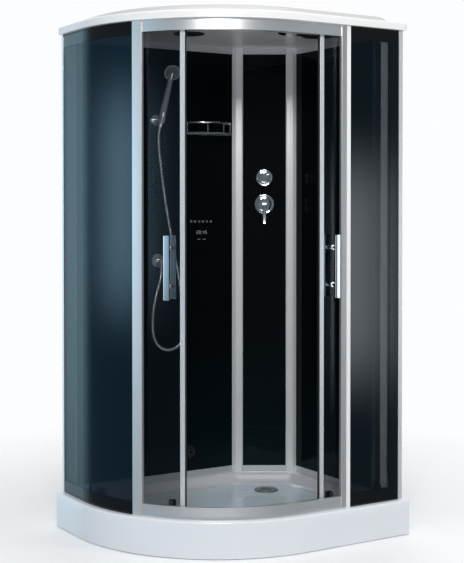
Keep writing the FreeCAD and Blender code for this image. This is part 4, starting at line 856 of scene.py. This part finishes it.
@dataclass
class Roof:
    """White roof: a lip over the glass, a soft shoulder and a shallow crown, hollow underneath."""

    low: float = 2.100
    lip: float = 0.032
    top: float = 2.165
    edge: float = 0.008
    shell: float = 0.005
    opening: float = 0.084
    opening_rear: float = 0.419
    opening_side: float = 0.524
    corner_softness: float = 0.008
    exact: tuple[tuple[float, float], ...] = (
        (-0.59, 0.44), (0.59, 0.44), (0.59, -0.44), (-0.515, 0.418), (0.523, 0.418), (0.523, -0.365))

    def profile(self) -> list[tuple[float, float]]:
        """Return (inset, height) from the lip's foot over the shoulder to the crown's rim."""
        brow = self.low + self.lip
        points = [(self.edge, self.low), (self.edge, self.low + 0.004), (self.edge, brow - 0.012)]
        points += bend((self.edge, brow - 0.010), (self.edge, brow), (self.edge + 0.012, brow + 0.001), 6)
        points += [(self.edge + 0.030, brow + 0.002)]
        points += bend((0.050, brow + 0.003), (0.062, brow + 0.004), (0.068, brow + 0.010), 5)
        points += bend((0.076, self.top - 0.014), (0.086, self.top - 0.002), (0.112, self.top - 0.0008), 7)
        points += [(0.150, self.top - 0.0004), (0.240, self.top)]
        return points

    def build(self, finish: bpy.types.Material) -> bpy.types.Object:
        """Make the shell: loops from the opening's edge out, over the top, and back inside to the opening.

        The band of faces between the last loop above and the first one beneath is left out, and each of
        these two loops is closed by a fan round the middle instead.
        """
        hub = np.zeros(2)
        way = directions(hub, 720, self.exact)
        count = len(way)
        profile = self.profile()
        hole = Outline(self.opening, self.opening_rear, self.opening_side).reach(hub, way)
        flange = self.low + 0.004
        lower = [(hole, self.low)] + [(self.reach(inset, hub, way), height) for inset, height in profile]
        upper = [(self.reach(inset + self.shell, hub, way), height - self.shell)
                 for inset, height in reversed(profile[3:])]
        upper += [(self.reach(self.edge + self.shell, hub, way), flange), (hole, flange)]
        crowns = [[*hub, self.top], [*hub, self.top - self.shell]]
        rows = len(lower) + len(upper)
        band = (len(lower) - 1) * count
        faces = np.delete(looped_faces(rows, count), slice(band, band + count), axis=0).tolist()
        crown = rows * count
        for k in range(count):
            after = (k + 1) % count
            faces.append([band + k, band + after, crown])
            faces.append([band + count + after, band + count + k, crown + 1])
        points = np.concatenate([loop_points(hub, way, lower + upper), crowns])
        made = closed_mesh("roof_shell", points, faces, finish, sharp=40.0)
        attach(made, Body.CABIN.value)
        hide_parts("roof")
        return made

    def reach(self, inset: float, hub: Array, way: Array) -> Array:
        """Return the roof's outline at one inset, its corners rounded a little."""
        roof = Outline(inset, TRAY_HALF_DEPTH - inset, TRAY_HALF_LENGTH - inset, None, self.corner_softness)
        return roof.reach(hub, way)


# ------------------------------------------------------------------------ fittings
@dataclass
class Fittings:
    """Chrome fittings: domed plates, softened controls and the hand shower's spray face."""

    made: dict[str, bpy.types.Material]
    mixer_height: float = 1.382
    diverter_height: float = 1.504
    plate_axis: tuple[float, float] = (0.381, 0.3245)
    plate_out: tuple[float, float, float] = (-0.52014, -0.85408, 0.0)
    head_centre: tuple[float, float, float] = (-0.12616, 0.27711, 1.95032)
    head_out: tuple[float, float, float] = (-0.30, -0.76, -0.58)
    face_radius: float = 0.0305
    nozzle_rings: tuple[tuple[float, int], ...] = ((0.0036, 4), (0.0120, 10), (0.0175, 14), (0.0266, 22))
    profile_softness: float = 0.0016

    def plate(self, node: str, height: float, radius: float) -> None:
        """Stand a domed plate in for a flat one: a rolled rim, a shallow groove and a raised middle.

        Args:
            node: the flat plate's name.
            height: the plate's middle over the floor.
            radius: its radius.
        """
        roll = 0.0022
        crown, crown_foot, crown_rise = radius - 0.014, 0.0036, 0.0024
        profile = [(0.0, 0.0003), (radius - 0.001, 0.0003)]
        profile += arc_profile((radius - roll, roll), roll, -60.0, 100.0, 9)
        profile += [(radius - 0.006, 0.0034), (radius - 0.009, 0.0030), (radius - 0.012, 0.0033)]
        for turn in np.linspace(0.0, math.pi / 2, 10):
            profile.append((crown * math.cos(turn) + 0.0001, crown_foot + crown_rise * math.sin(turn)))
        profile.append((0.0, crown_foot + crown_rise))
        axis = Axis((*self.plate_axis, height), self.plate_out)
        made = turned(node + "_dome", axis, profile, self.made["chrome"])
        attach(made, Body.CABIN.value)
        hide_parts(node)
        log.info("domed %s", node)

    def spray_face(self) -> None:
        """Lay the hand shower's grey face on its head and set rings of nozzles in it."""
        radius = self.face_radius
        profile = [(0.0, -0.0008), (radius - 0.0006, -0.0008)]
        profile += arc_profile((radius - 0.0012, 0.0002), 0.0012, -40.0, 90.0, 6)
        profile += [(0.0236, 0.0013), (0.0222, 0.0007), (0.0206, 0.0013)]
        profile += [(0.0094, 0.0014), (0.0080, 0.0008), (0.0066, 0.0014), (0.0, 0.0016)]
        axis = Axis(self.head_centre, self.head_out)
        face = turned("spray_face", axis, profile, self.made["spray_grey"])
        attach(face, Body.HANDSET.value)
        origin, _, side, up = axis.basis()
        dome = [(0.0, -0.0004), (0.0012, 0.0), (0.0012, 0.0016), (0.0009, 0.0024), (0.0, 0.0026)]
        grey = self.made["nozzle_grey"]
        nozzles = []
        for ring, count in self.nozzle_rings:
            for k in range(count):
                a = 2 * math.pi * (k + 0.5) / count
                foot = origin + ring * (math.cos(a) * side + math.sin(a) * up)
                nozzles.append(turned("nozzle", Axis(foot, self.head_out), dome, grey, 10))
        joined = joined_mesh("spray_nozzles", nozzles)
        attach(joined, Body.HANDSET.value)
        log.info("spray face with %d nozzles", len(nozzles))

    def build(self) -> None:
        """Make all the fittings."""
        self.plate("mixer_plate", self.mixer_height, 0.045)
        self.plate("diverter_plate", self.diverter_height, 0.038)
        self.spray_face()
        for node, body, finish, width in (
                ("mixer_cap", Body.MIXER_CAP, "chrome", 0.0025),
                ("mixer_lever", Body.MIXER_LEVER, "chrome", 0.0012),
                ("diverter_knob", Body.DIVERTER, "chrome", 0.0015),
                ("hose_outlet", Body.CABIN, "shower_chrome", 0.0012),
                ("shower_holder", Body.CABIN, "shower_chrome", 0.0012),
                ("left_door_handle", Body.LEFT_DOOR, "chrome", 0.0014),
                ("right_door_handle", Body.RIGHT_DOOR, "chrome", 0.0014)):
            softened(node, body, self.made[finish], width)
        for node, body, finish in (
                ("left_post", Body.CABIN, "post_aluminium"),
                # the right post's finish has a painted highlight strip
                ("right_post", Body.CABIN, "highlight_striped_aluminium"),
                ("left_door_edge", Body.LEFT_DOOR, "bright_aluminium"),
                ("right_door_edge", Body.RIGHT_DOOR, "bright_aluminium")):
            softened(node, body, self.made[finish], self.profile_softness)
        log.info("softened the chrome controls and the upright profiles")


def joined_mesh(name: str, parts: Sequence[bpy.types.Object]) -> bpy.types.Object:
    """Join small pieces of one finish into a single object and remove them."""
    points, faces, start = [], [], 0
    for part in parts:
        count = len(part.data.vertices)
        where = np.empty(count * 3)
        part.data.vertices.foreach_get("co", where)
        points.append(where.reshape(-1, 3))
        faces += [[start + v for v in face.vertices] for face in part.data.polygons]
        start += count
    material = parts[0].data.materials[0]
    for part in parts:
        mesh = part.data
        bpy.data.objects.remove(part)
        bpy.data.meshes.remove(mesh)
    return closed_mesh(name, np.concatenate(points), faces, material)


@dataclass
class PanelPrint:
    """White print on the control panel: a row of key rings, a clock's digits and two bars under them."""

    made: dict[str, bpy.types.Material]
    level: float = 0.00025
    sunk: float = 0.0002
    keys_at: tuple[float, float] = (0.0325, 1.303)
    key_pitch: float = 0.0206
    keys: int = 6
    clock_height: float = 1.254
    bars_height: float = 1.222
    segments: tuple[str, ...] = ("1111110", "0110000", "1101101", "1111001", "0110011", "1011011", "1011111")

    def slab(self, x: float, z: float, width: float, height: float) -> bpy.types.Object:
        """Make one thin printed bar centred at x, z on the panel's face."""
        front = float(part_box("control_panel")[0][1])
        xs = (x - width / 2, x + width / 2)
        zs = (z - height / 2, z + height / 2)
        ys = (front - self.level, front + self.sunk)
        points = np.array([[a, b, c] for c in zs for b in ys for a in xs])
        faces = [[0, 2, 3, 1], [4, 5, 7, 6], [0, 1, 5, 4], [2, 6, 7, 3], [0, 4, 6, 2], [1, 3, 7, 5]]
        return closed_mesh("bar", points, faces, self.made["print_white"], False)

    def digit(self, x: float, z: float, number: int) -> list[bpy.types.Object]:
        """Make one seven-bar digit, about 7.5 mm wide and 14.5 mm high."""
        w, h, t = 0.0062, 0.0066, 0.0013
        places = [(0, h, w, t), (w / 2, h / 2, t, h), (w / 2, -h / 2, t, h), (0, -h, w, t),
                  (-w / 2, -h / 2, t, h), (-w / 2, h / 2, t, h), (0, 0, w, t)]
        lit = self.segments[number]
        return [self.slab(x + dx, z + dz, dw, dh) for on, (dx, dz, dw, dh) in zip(lit, places) if on == "1"]

    def ring(self, x: float, z: float) -> bpy.types.Object:
        """Make one key's printed ring as a thin turned washer."""
        front = float(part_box("control_panel")[0][1])
        angle = np.linspace(0.0, 2 * math.pi, 28, endpoint=False)
        outer, inner = 0.0046, 0.0036
        loops = [(outer, self.sunk), (outer, -self.level), (inner, -self.level), (inner, self.sunk)]
        points = [[x + r * math.cos(a), front + y, z + r * math.sin(a)] for r, y in loops for a in angle]
        faces = looped_faces(len(loops), len(angle))
        return closed_mesh("ring", np.array(points), faces, self.made["print_white"], False)

    def build(self) -> None:
        """Print the panel."""
        left, height = self.keys_at
        parts = [self.ring(left + self.key_pitch * k, height) for k in range(self.keys)]
        for x, number in ((0.064, 2), (0.077, 0), (0.097, 4), (0.110, 5)):
            parts += self.digit(x, self.clock_height, number)
        for drop in (0.004, -0.004):
            parts.append(self.slab(0.087, self.clock_height + drop, 0.0018, 0.0018))
        for x in (0.072, 0.100):
            parts.append(self.slab(x, self.bars_height, 0.014, 0.0014))
        made = joined_mesh("panel_print", parts)
        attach(made, Body.CABIN.value)
        log.info("panel printed")


@dataclass
class Columns:
    """Bent aluminium columns beside the corner glass: one face along the wall, the other along the corner."""

    made: dict[str, bpy.types.Material]

    def face_line(self) -> list[tuple[float, float]]:
        """Return (distance from the wall, distance out) round the column, from the wall to the glass."""
        line = [(-0.0050, -0.004), (-0.0050, 0.0004)]
        line += bend((-0.0050, 0.0008), (-0.0046, 0.0014), (-0.0030, 0.0022), 4)
        line += bend((0.0100, 0.0102), (0.0127, 0.0118), (0.0160, 0.0118), 5)
        line += [(0.0250, 0.0118), (0.0255, 0.0110), (0.0265, 0.0110), (0.0270, 0.0118)]
        line += bend((0.0400, 0.0118), (0.0460, 0.0118), (0.0460, 0.0060), 7)
        line += [(0.0460, -0.004)]
        return line

    def build(self) -> None:
        """Extrude both columns; the right one is the left one mirrored."""
        for node, mirrored in (("left_column", False), ("right_column", True)):
            low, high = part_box(node)
            plan = []
            for s, o in self.face_line():
                distance = CORNER_LENGTH - s if mirrored else s
                plan.append(CORNER_START + distance * CORNER_ALONG + o * CORNER_OUT)
            count = len(plan)
            rows = [[[*p, z] for p in plan] for z in (float(low[2]), float(high[2]))]
            sides = ring_faces(2, count).tolist()
            faces = sides + [list(range(count))[::-1], [count + k for k in range(count)]]
            if mirrored:
                faces = [face[::-1] for face in faces]
            points = np.array(rows).reshape(-1, 3)
            made = closed_mesh(node + "_bent", points, faces, self.made["column_aluminium"], sharp=20.0)
            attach(made, Body.CABIN.value)
            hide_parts(node)
        log.info("columns bent")


# ------------------------------------------------------------------------ studio
class RoomLight:
    """The room's light as a function of direction: an even fill, a bright part and soft glows added to it."""

    def __init__(self, tree: bpy.types.NodeTree) -> None:
        """Start with the world's own node tree."""
        self.tree = tree
        self.way = tree.nodes.new("ShaderNodeTexCoord").outputs["Generated"]
        self.total: Optional[bpy.types.NodeSocket] = None

    def along(self, axis: Sequence[float]) -> bpy.types.NodeSocket:
        """Return the part of the direction along an axis."""
        made = self.tree.nodes.new("ShaderNodeVectorMath")
        made.operation = "DOT_PRODUCT"
        self.tree.links.new(self.way, made.inputs[0])
        made.inputs[1].default_value = axis
        return made.outputs["Value"]

    def step(self, value: bpy.types.NodeSocket, start: float, stop: float) -> bpy.types.NodeSocket:
        """Return 0 below start, 1 above stop and a soft step between."""
        made = self.tree.nodes.new("ShaderNodeMapRange")
        made.interpolation_type = "SMOOTHSTEP"
        made.inputs["From Min"].default_value = start
        made.inputs["From Max"].default_value = stop
        self.tree.links.new(value, made.inputs["Value"])
        return made.outputs[0]

    def math(self, operation: str, a: object, b: object = 0.0) -> bpy.types.NodeSocket:
        """Return one arithmetic step on two values."""
        made = self.tree.nodes.new("ShaderNodeMath")
        made.operation = operation
        for socket, value in zip(made.inputs, (a, b)):
            if isinstance(value, bpy.types.NodeSocket):
                self.tree.links.new(value, socket)
            else:
                socket.default_value = value
        return made.outputs[0]

    def tinted(self, amount: bpy.types.NodeSocket, dark: Colour, bright: Colour) -> bpy.types.NodeSocket:
        """Return a colour between two, by amount."""
        made = self.tree.nodes.new("ShaderNodeMix")
        made.data_type = "RGBA"
        made.clamp_factor = False
        self.tree.links.new(amount, made.inputs[0])
        made.inputs[6].default_value = (*dark, 1.0)
        made.inputs[7].default_value = (*bright, 1.0)
        return made.outputs[2]

    def fill(self, dim: Colour, bright: Colour, amount: bpy.types.NodeSocket) -> None:
        """Set the even light: dim everywhere and bright by amount."""
        self.total = self.tinted(amount, dim, bright)

    def glow(self, azimuth: float, level: float, width: float, height: float, colour: Colour) -> None:
        """Add a soft glow.

        With h the part of the direction across the glow's axis and z its height, the glow is
        exp(-(h / width)^2) * exp(-((z - level) / height)^4) on the axis's side of the room.

        Args:
            azimuth: degrees from +Y towards +X.
            level: height of its middle, as the sine of the elevation.
            width: half width.
            height: half height.
            colour: its brightest colour.
        """
        a = math.radians(azimuth)
        facing = self.step(self.along((math.sin(a), math.cos(a), 0.0)), 0.0, 0.3)
        across = self.math("DIVIDE", self.along((math.cos(a), -math.sin(a), 0.0)), width)
        raised = self.math("DIVIDE", self.math("SUBTRACT", self.along((0.0, 0.0, 1.0)), level), height)
        fall = self.math("ADD", self.math("POWER", self.math("ABSOLUTE", across), 2.0),
                         self.math("POWER", self.math("ABSOLUTE", raised), 4.0))
        amount = self.math("MULTIPLY", facing, self.math("EXPONENT", self.math("MULTIPLY", fall, -1.0)))
        added = self.tree.nodes.new("ShaderNodeMix")
        added.data_type = "RGBA"
        added.blend_type = "ADD"
        added.inputs[0].default_value = 1.0
        self.tree.links.new(self.total, added.inputs[6])
        self.tree.links.new(self.tinted(amount, (0.0, 0.0, 0.0), colour), added.inputs[7])
        self.total = added.outputs[2]

    def close(self, plain: Colour) -> None:
        """Link the light to the world's surface, with a plain backdrop where it is looked at directly.

        Args:
            plain: the backdrop's colour.
        """
        seen = self.tree.nodes.new("ShaderNodeLightPath").outputs["Is Camera Ray"]
        mixed = self.tree.nodes.new("ShaderNodeMix")
        mixed.data_type = "RGBA"
        self.tree.links.new(seen, mixed.inputs[0])
        self.tree.links.new(self.total, mixed.inputs[6])
        mixed.inputs[7].default_value = (*plain, 1.0)
        self.tree.links.new(mixed.outputs[2], self.tree.nodes["Background"].inputs["Color"])


def aimed(at: Sequence[float], facing: Vector) -> Matrix:
    """Return the placing of a camera or light that stands at a point and faces a direction, top upwards."""
    return Matrix.Translation(at) @ facing.to_track_quat("-Z", "Y").to_matrix().to_4x4()


@dataclass
class Studio:
    """Camera, lights and floor."""

    camera_at: tuple[float, float, float] = (-2.65896, -4.34560, 1.36589)
    yaw: float = 31.532
    pitch: float = -1.066
    focal_px: float = 1208.46
    frame_height_px: float = 563.0
    horizon_px: float = 230.0

    def camera(self) -> bpy.types.Object:
        """Place the camera where the photograph was taken from, with the photograph's framing."""
        data = bpy.data.cameras.new("camera")
        data.sensor_width = 36.0
        data.lens = self.focal_px * data.sensor_width / self.frame_height_px
        data.shift_y = (self.horizon_px - self.frame_height_px / 2) / self.frame_height_px
        data.clip_end = 60.0
        made = bpy.data.objects.new("camera", data)
        yaw, pitch = math.radians(self.yaw), math.radians(self.pitch)
        look = Vector((math.sin(yaw) * math.cos(pitch), math.cos(yaw) * math.cos(pitch), math.sin(pitch)))
        made.matrix_world = aimed(self.camera_at, look)
        bpy.context.scene.collection.objects.link(made)
        bpy.context.scene.camera = made
        return made

    def softbox(self, name: str, at: Sequence[float], to: Sequence[float], size: tuple[float, float],
                power: float, mirrored: bool = True) -> None:
        """Hang one rectangular light.

        Args:
            name: the light's name.
            at: where it hangs.
            to: the point that it faces.
            size: its width and height in metres.
            power: watts.
            mirrored: whether glass and metal mirror it.
        """
        data = bpy.data.lights.new(name, "AREA")
        data.shape = "RECTANGLE"
        data.size, data.size_y = size
        data.energy = power
        made = bpy.data.objects.new(name, data)
        made.matrix_world = aimed(at, Vector(to) - Vector(at))
        made.visible_glossy = mirrored
        bpy.context.scene.collection.objects.link(made)

    def lights(self) -> None:
        """Light the cabin from above the camera, from the right and from above."""
        self.softbox("key_box", (-2.45, -3.95, 3.45), (0.0, 0.0, 1.1), (1.5, 1.0), 112.0)
        self.softbox("right_box", (2.8, -3.6, 3.0), (0.1, -0.3, 0.6), (1.4, 1.4), 40.0, mirrored=False)
        self.softbox("top_box", (0.0, -0.6, 4.6), (0.0, 0.0, 1.0), (3.0, 3.0), 26.0)

    def world(self) -> None:
        """Give the room a bright end behind the cabin, a dim one on the camera's side and four soft glows."""
        world = bpy.data.worlds.new("room")
        world.use_nodes = True
        light = RoomLight(world.node_tree)
        yaw = math.radians(self.yaw)
        behind = light.step(light.along((math.sin(yaw), math.cos(yaw), 0.0)), 0.35, 0.85)
        overhead = light.step(light.along((0.0, 0.0, 1.0)), 0.45, 0.90)
        light.fill((0.115, 0.135, 0.155), (0.97, 0.985, 1.0), light.math("MAXIMUM", behind, overhead))
        light.glow(-74.0, 0.006, 0.42, 0.090, (1.75, 2.95, 3.90))
        light.glow(-24.0, 0.0, 0.15, 0.25, (0.40, 0.90, 1.15))
        light.glow(143.0, -0.052, 0.034, 0.088, (3.20, 3.50, 3.75))
        light.glow(-148.0, -0.52, 0.50, 0.14, (3.4, 3.5, 3.6))
        light.close((0.97, 0.985, 1.0))
        bpy.context.scene.world = world
        bpy.context.scene.view_settings.view_transform = "Standard"

    def floor(self) -> bpy.types.Object:
        """Lay a pale floor under the feet that fades into the room's light away from the cabin."""
        recipe = Recipe("studio_floor")
        x, y, _ = recipe.axes()
        x_squared = recipe.math("MULTIPLY", x, x)
        y_squared = recipe.math("MULTIPLY", y, y)
        away = recipe.math("SQRT", recipe.math("ADD", x_squared, y_squared))
        recipe.put("Base Color", (0.95, 0.95, 0.95))
        recipe.put("Roughness", recipe.ramp(recipe.noise(2.0), 0.55, 0.65))
        recipe.put("Alpha", recipe.ramp(away, 1.0, 0.0, 1.0, 2.6))
        size = 6.0
        points = np.array([[-size, -size, 0.0], [size, -size, 0.0], [size, size, 0.0], [-size, size, 0.0]])
        made = closed_mesh("studio_floor", points, np.array([[0, 1, 2, 3]]), recipe.material, False)
        made.visible_glossy = False
        return made

    def build(self) -> None:
        """Set the whole studio up."""
        self.camera()
        self.lights()
        self.world()
        self.floor()


# ------------------------------------------------------------------------ solid pieces
@dataclass
class SolidFinishes:
    """Finishes of the pieces whose solid already has the right shape."""

    made: dict[str, bpy.types.Material] = field(default_factory=dict)

    def prepare(self) -> None:
        """Build one material for each finish."""
        # where the right post's painted highlight strip starts
        low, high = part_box("right_post")
        highlight_at = float(0.45 * low[0] + 0.55 * high[0])
        palette = [
            TrayAcrylic(),
            RoofAcrylic("roof_white"),
            Gloss("ceiling_grey", (0.62, 0.615, 0.615), 0.3),
            Gloss("grille_black", (0.012, 0.012, 0.014), 0.45),
            Gloss("black_rubber", (0.010, 0.010, 0.011), 0.55),
            Gloss("black_nylon", (0.016, 0.016, 0.018), 0.4),
            Gloss("white_nylon", (0.75, 0.75, 0.73), 0.4),
            Gloss("grey_plastic", (0.10, 0.105, 0.11), 0.4),
            Gloss("opal", (0.80, 0.80, 0.76), 0.3),
            Gloss("spray_grey", (0.20, 0.23, 0.225), 0.35),
            Gloss("nozzle_grey", (0.42, 0.46, 0.45), 0.4),
            Gloss("print_white", (0.80, 0.82, 0.85), 0.5, texture_depth=0.0),
            Metal("satin_aluminium", (0.80, 0.81, 0.83), 0.36, metallic=0.6),
            Metal("satin_aluminium_x", (0.76, 0.765, 0.765), 0.30, Along.X, metallic=0.75),
            Metal("bright_aluminium", (0.88, 0.89, 0.90), 0.26, metallic=0.55),
            Metal("column_aluminium", (0.97, 0.975, 0.98), 0.30, metallic=0.25),
            # the right post's finish with a painted highlight strip
            HighlightStripPost("highlight_striped_aluminium", highlight_at),
            Metal("post_aluminium", (0.80, 0.74, 0.70), 0.36, metallic=0.80),
            Metal("shower_chrome", (0.95, 0.955, 0.96), 0.10, grain=0.1, grain_depth=0.0, metallic=0.7),
            Metal("chrome", (0.86, 0.87, 0.89), 0.07, grain=0.1, grain_depth=0.0),
            Metal("stainless", (0.66, 0.67, 0.69), 0.25, Along.X),
            Metal("drain_grey", (0.34, 0.35, 0.36), 0.38, Along.X),
            Metal("zinc_steel", (0.60, 0.61, 0.63), 0.45, Along.X),
            Metal("brass", (0.68, 0.50, 0.24), 0.3, Along.X),
            Metal("copper_pipe", (0.72, 0.40, 0.26), 0.25),
            Metal("hose_steel", (0.88, 0.89, 0.91), 0.14, grain=0.1, grain_depth=0.0, metallic=0.75),
            TintedPane("left_pane", (0.0008, 0.0135, 0.0265), border=printed_left_border),
            TintedPane("right_pane", (0.0010, 0.0050, 0.0085), border=printed_right_border),
            TintedPane("door_pane", (0.0003, 0.0022, 0.0050), cover=0.32),
            TintedPane("shelf_glass", (0.25, 0.32, 0.34), cover=0.35),
            BackPaintedGlass("black_glass"),
        ]
        for finish in palette:
            self.made[finish.name] = finish.make()

    def dress(self, finish: str, *nodes: str) -> None:
        """Give one finish to some solid pieces.

        Args:
            finish: the finish's name.
            nodes: the pieces' names.
        """
        for name in nodes:
            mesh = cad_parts[name].data
            mesh.materials.clear()
            mesh.materials.append(self.made[finish])
        log.info("%s on %s", finish, ", ".join(nodes))

    def build(self) -> None:
        """Dress every solid piece."""
        self.prepare()
        self.dress("white_acrylic", "tray")
        self.dress("roof_white", "roof")
        self.dress("ceiling_grey", "ceiling_panel")
        self.dress("grille_black", "ceiling_grilles")
        self.dress("opal", "ceiling_light")
        self.dress("satin_aluminium", "left_column", "right_column", "rear_wall_frame", "side_wall_frame",
                   "corner_frame")
        self.dress("satin_aluminium_x", "top_rail", "bottom_rail")
        self.dress("post_aluminium", "left_post")
        # the right post carries a painted highlight strip
        self.dress("highlight_striped_aluminium", "right_post")
        self.dress("bright_aluminium", "edge_profiles", "left_door_edge", "right_door_edge")
        self.dress("left_pane", "left_fixed_glass")
        self.dress("right_pane", "right_fixed_glass")
        self.dress("door_pane", "left_door_glass", "right_door_glass")
        self.dress("shelf_glass", "shelf")
        self.dress("black_glass", "rear_wall_panel", "side_wall_panel", "corner_panel", "control_panel")
        self.dress("black_rubber", "left_door_seals", "right_door_seals")
        self.dress("black_nylon", "left_door_hangers", "right_door_hangers", "fan_rotor", "steam_outlet")
        self.dress("white_nylon", "left_lead_wheel", "left_trail_wheel", "right_lead_wheel",
                   "right_trail_wheel")
        self.dress("chrome", "rain_head", "mixer_plate", "mixer_cap", "mixer_lever", "diverter_plate",
                   "diverter_knob", "shelf_rail", "left_door_handle", "right_door_handle")
        self.dress("shower_chrome", "handset", "shower_holder", "hose_outlet")
        self.dress("drain_grey", "drain_cover")
        self.dress("grey_plastic", "drain_trap", "fan_housing", "control_box")
        self.dress("zinc_steel", "tray_frame", "levelling_feet")
        self.dress("stainless", "steam_generator")
        self.dress("brass", "valve_body")
        self.dress("copper_pipe", "supply_pipes", "outlet_pipes", "steam_pipe")


def main() -> None:
    """Build the studio, the finishes and the pieces made here, in order."""
    Studio().build()
    finishes = SolidFinishes()
    finishes.build()
    ShowerHose().build(finishes.made["hose_steel"])
    log.info("hose made")
    Tray().build(finishes.made["white_acrylic"])
    Roof().build(finishes.made["roof_white"])
    log.info("tray and roof made")
    Fittings(finishes.made).build()
    PanelPrint(finishes.made).build()
    Columns(finishes.made).build()


if __name__ == "__main__":
    main()
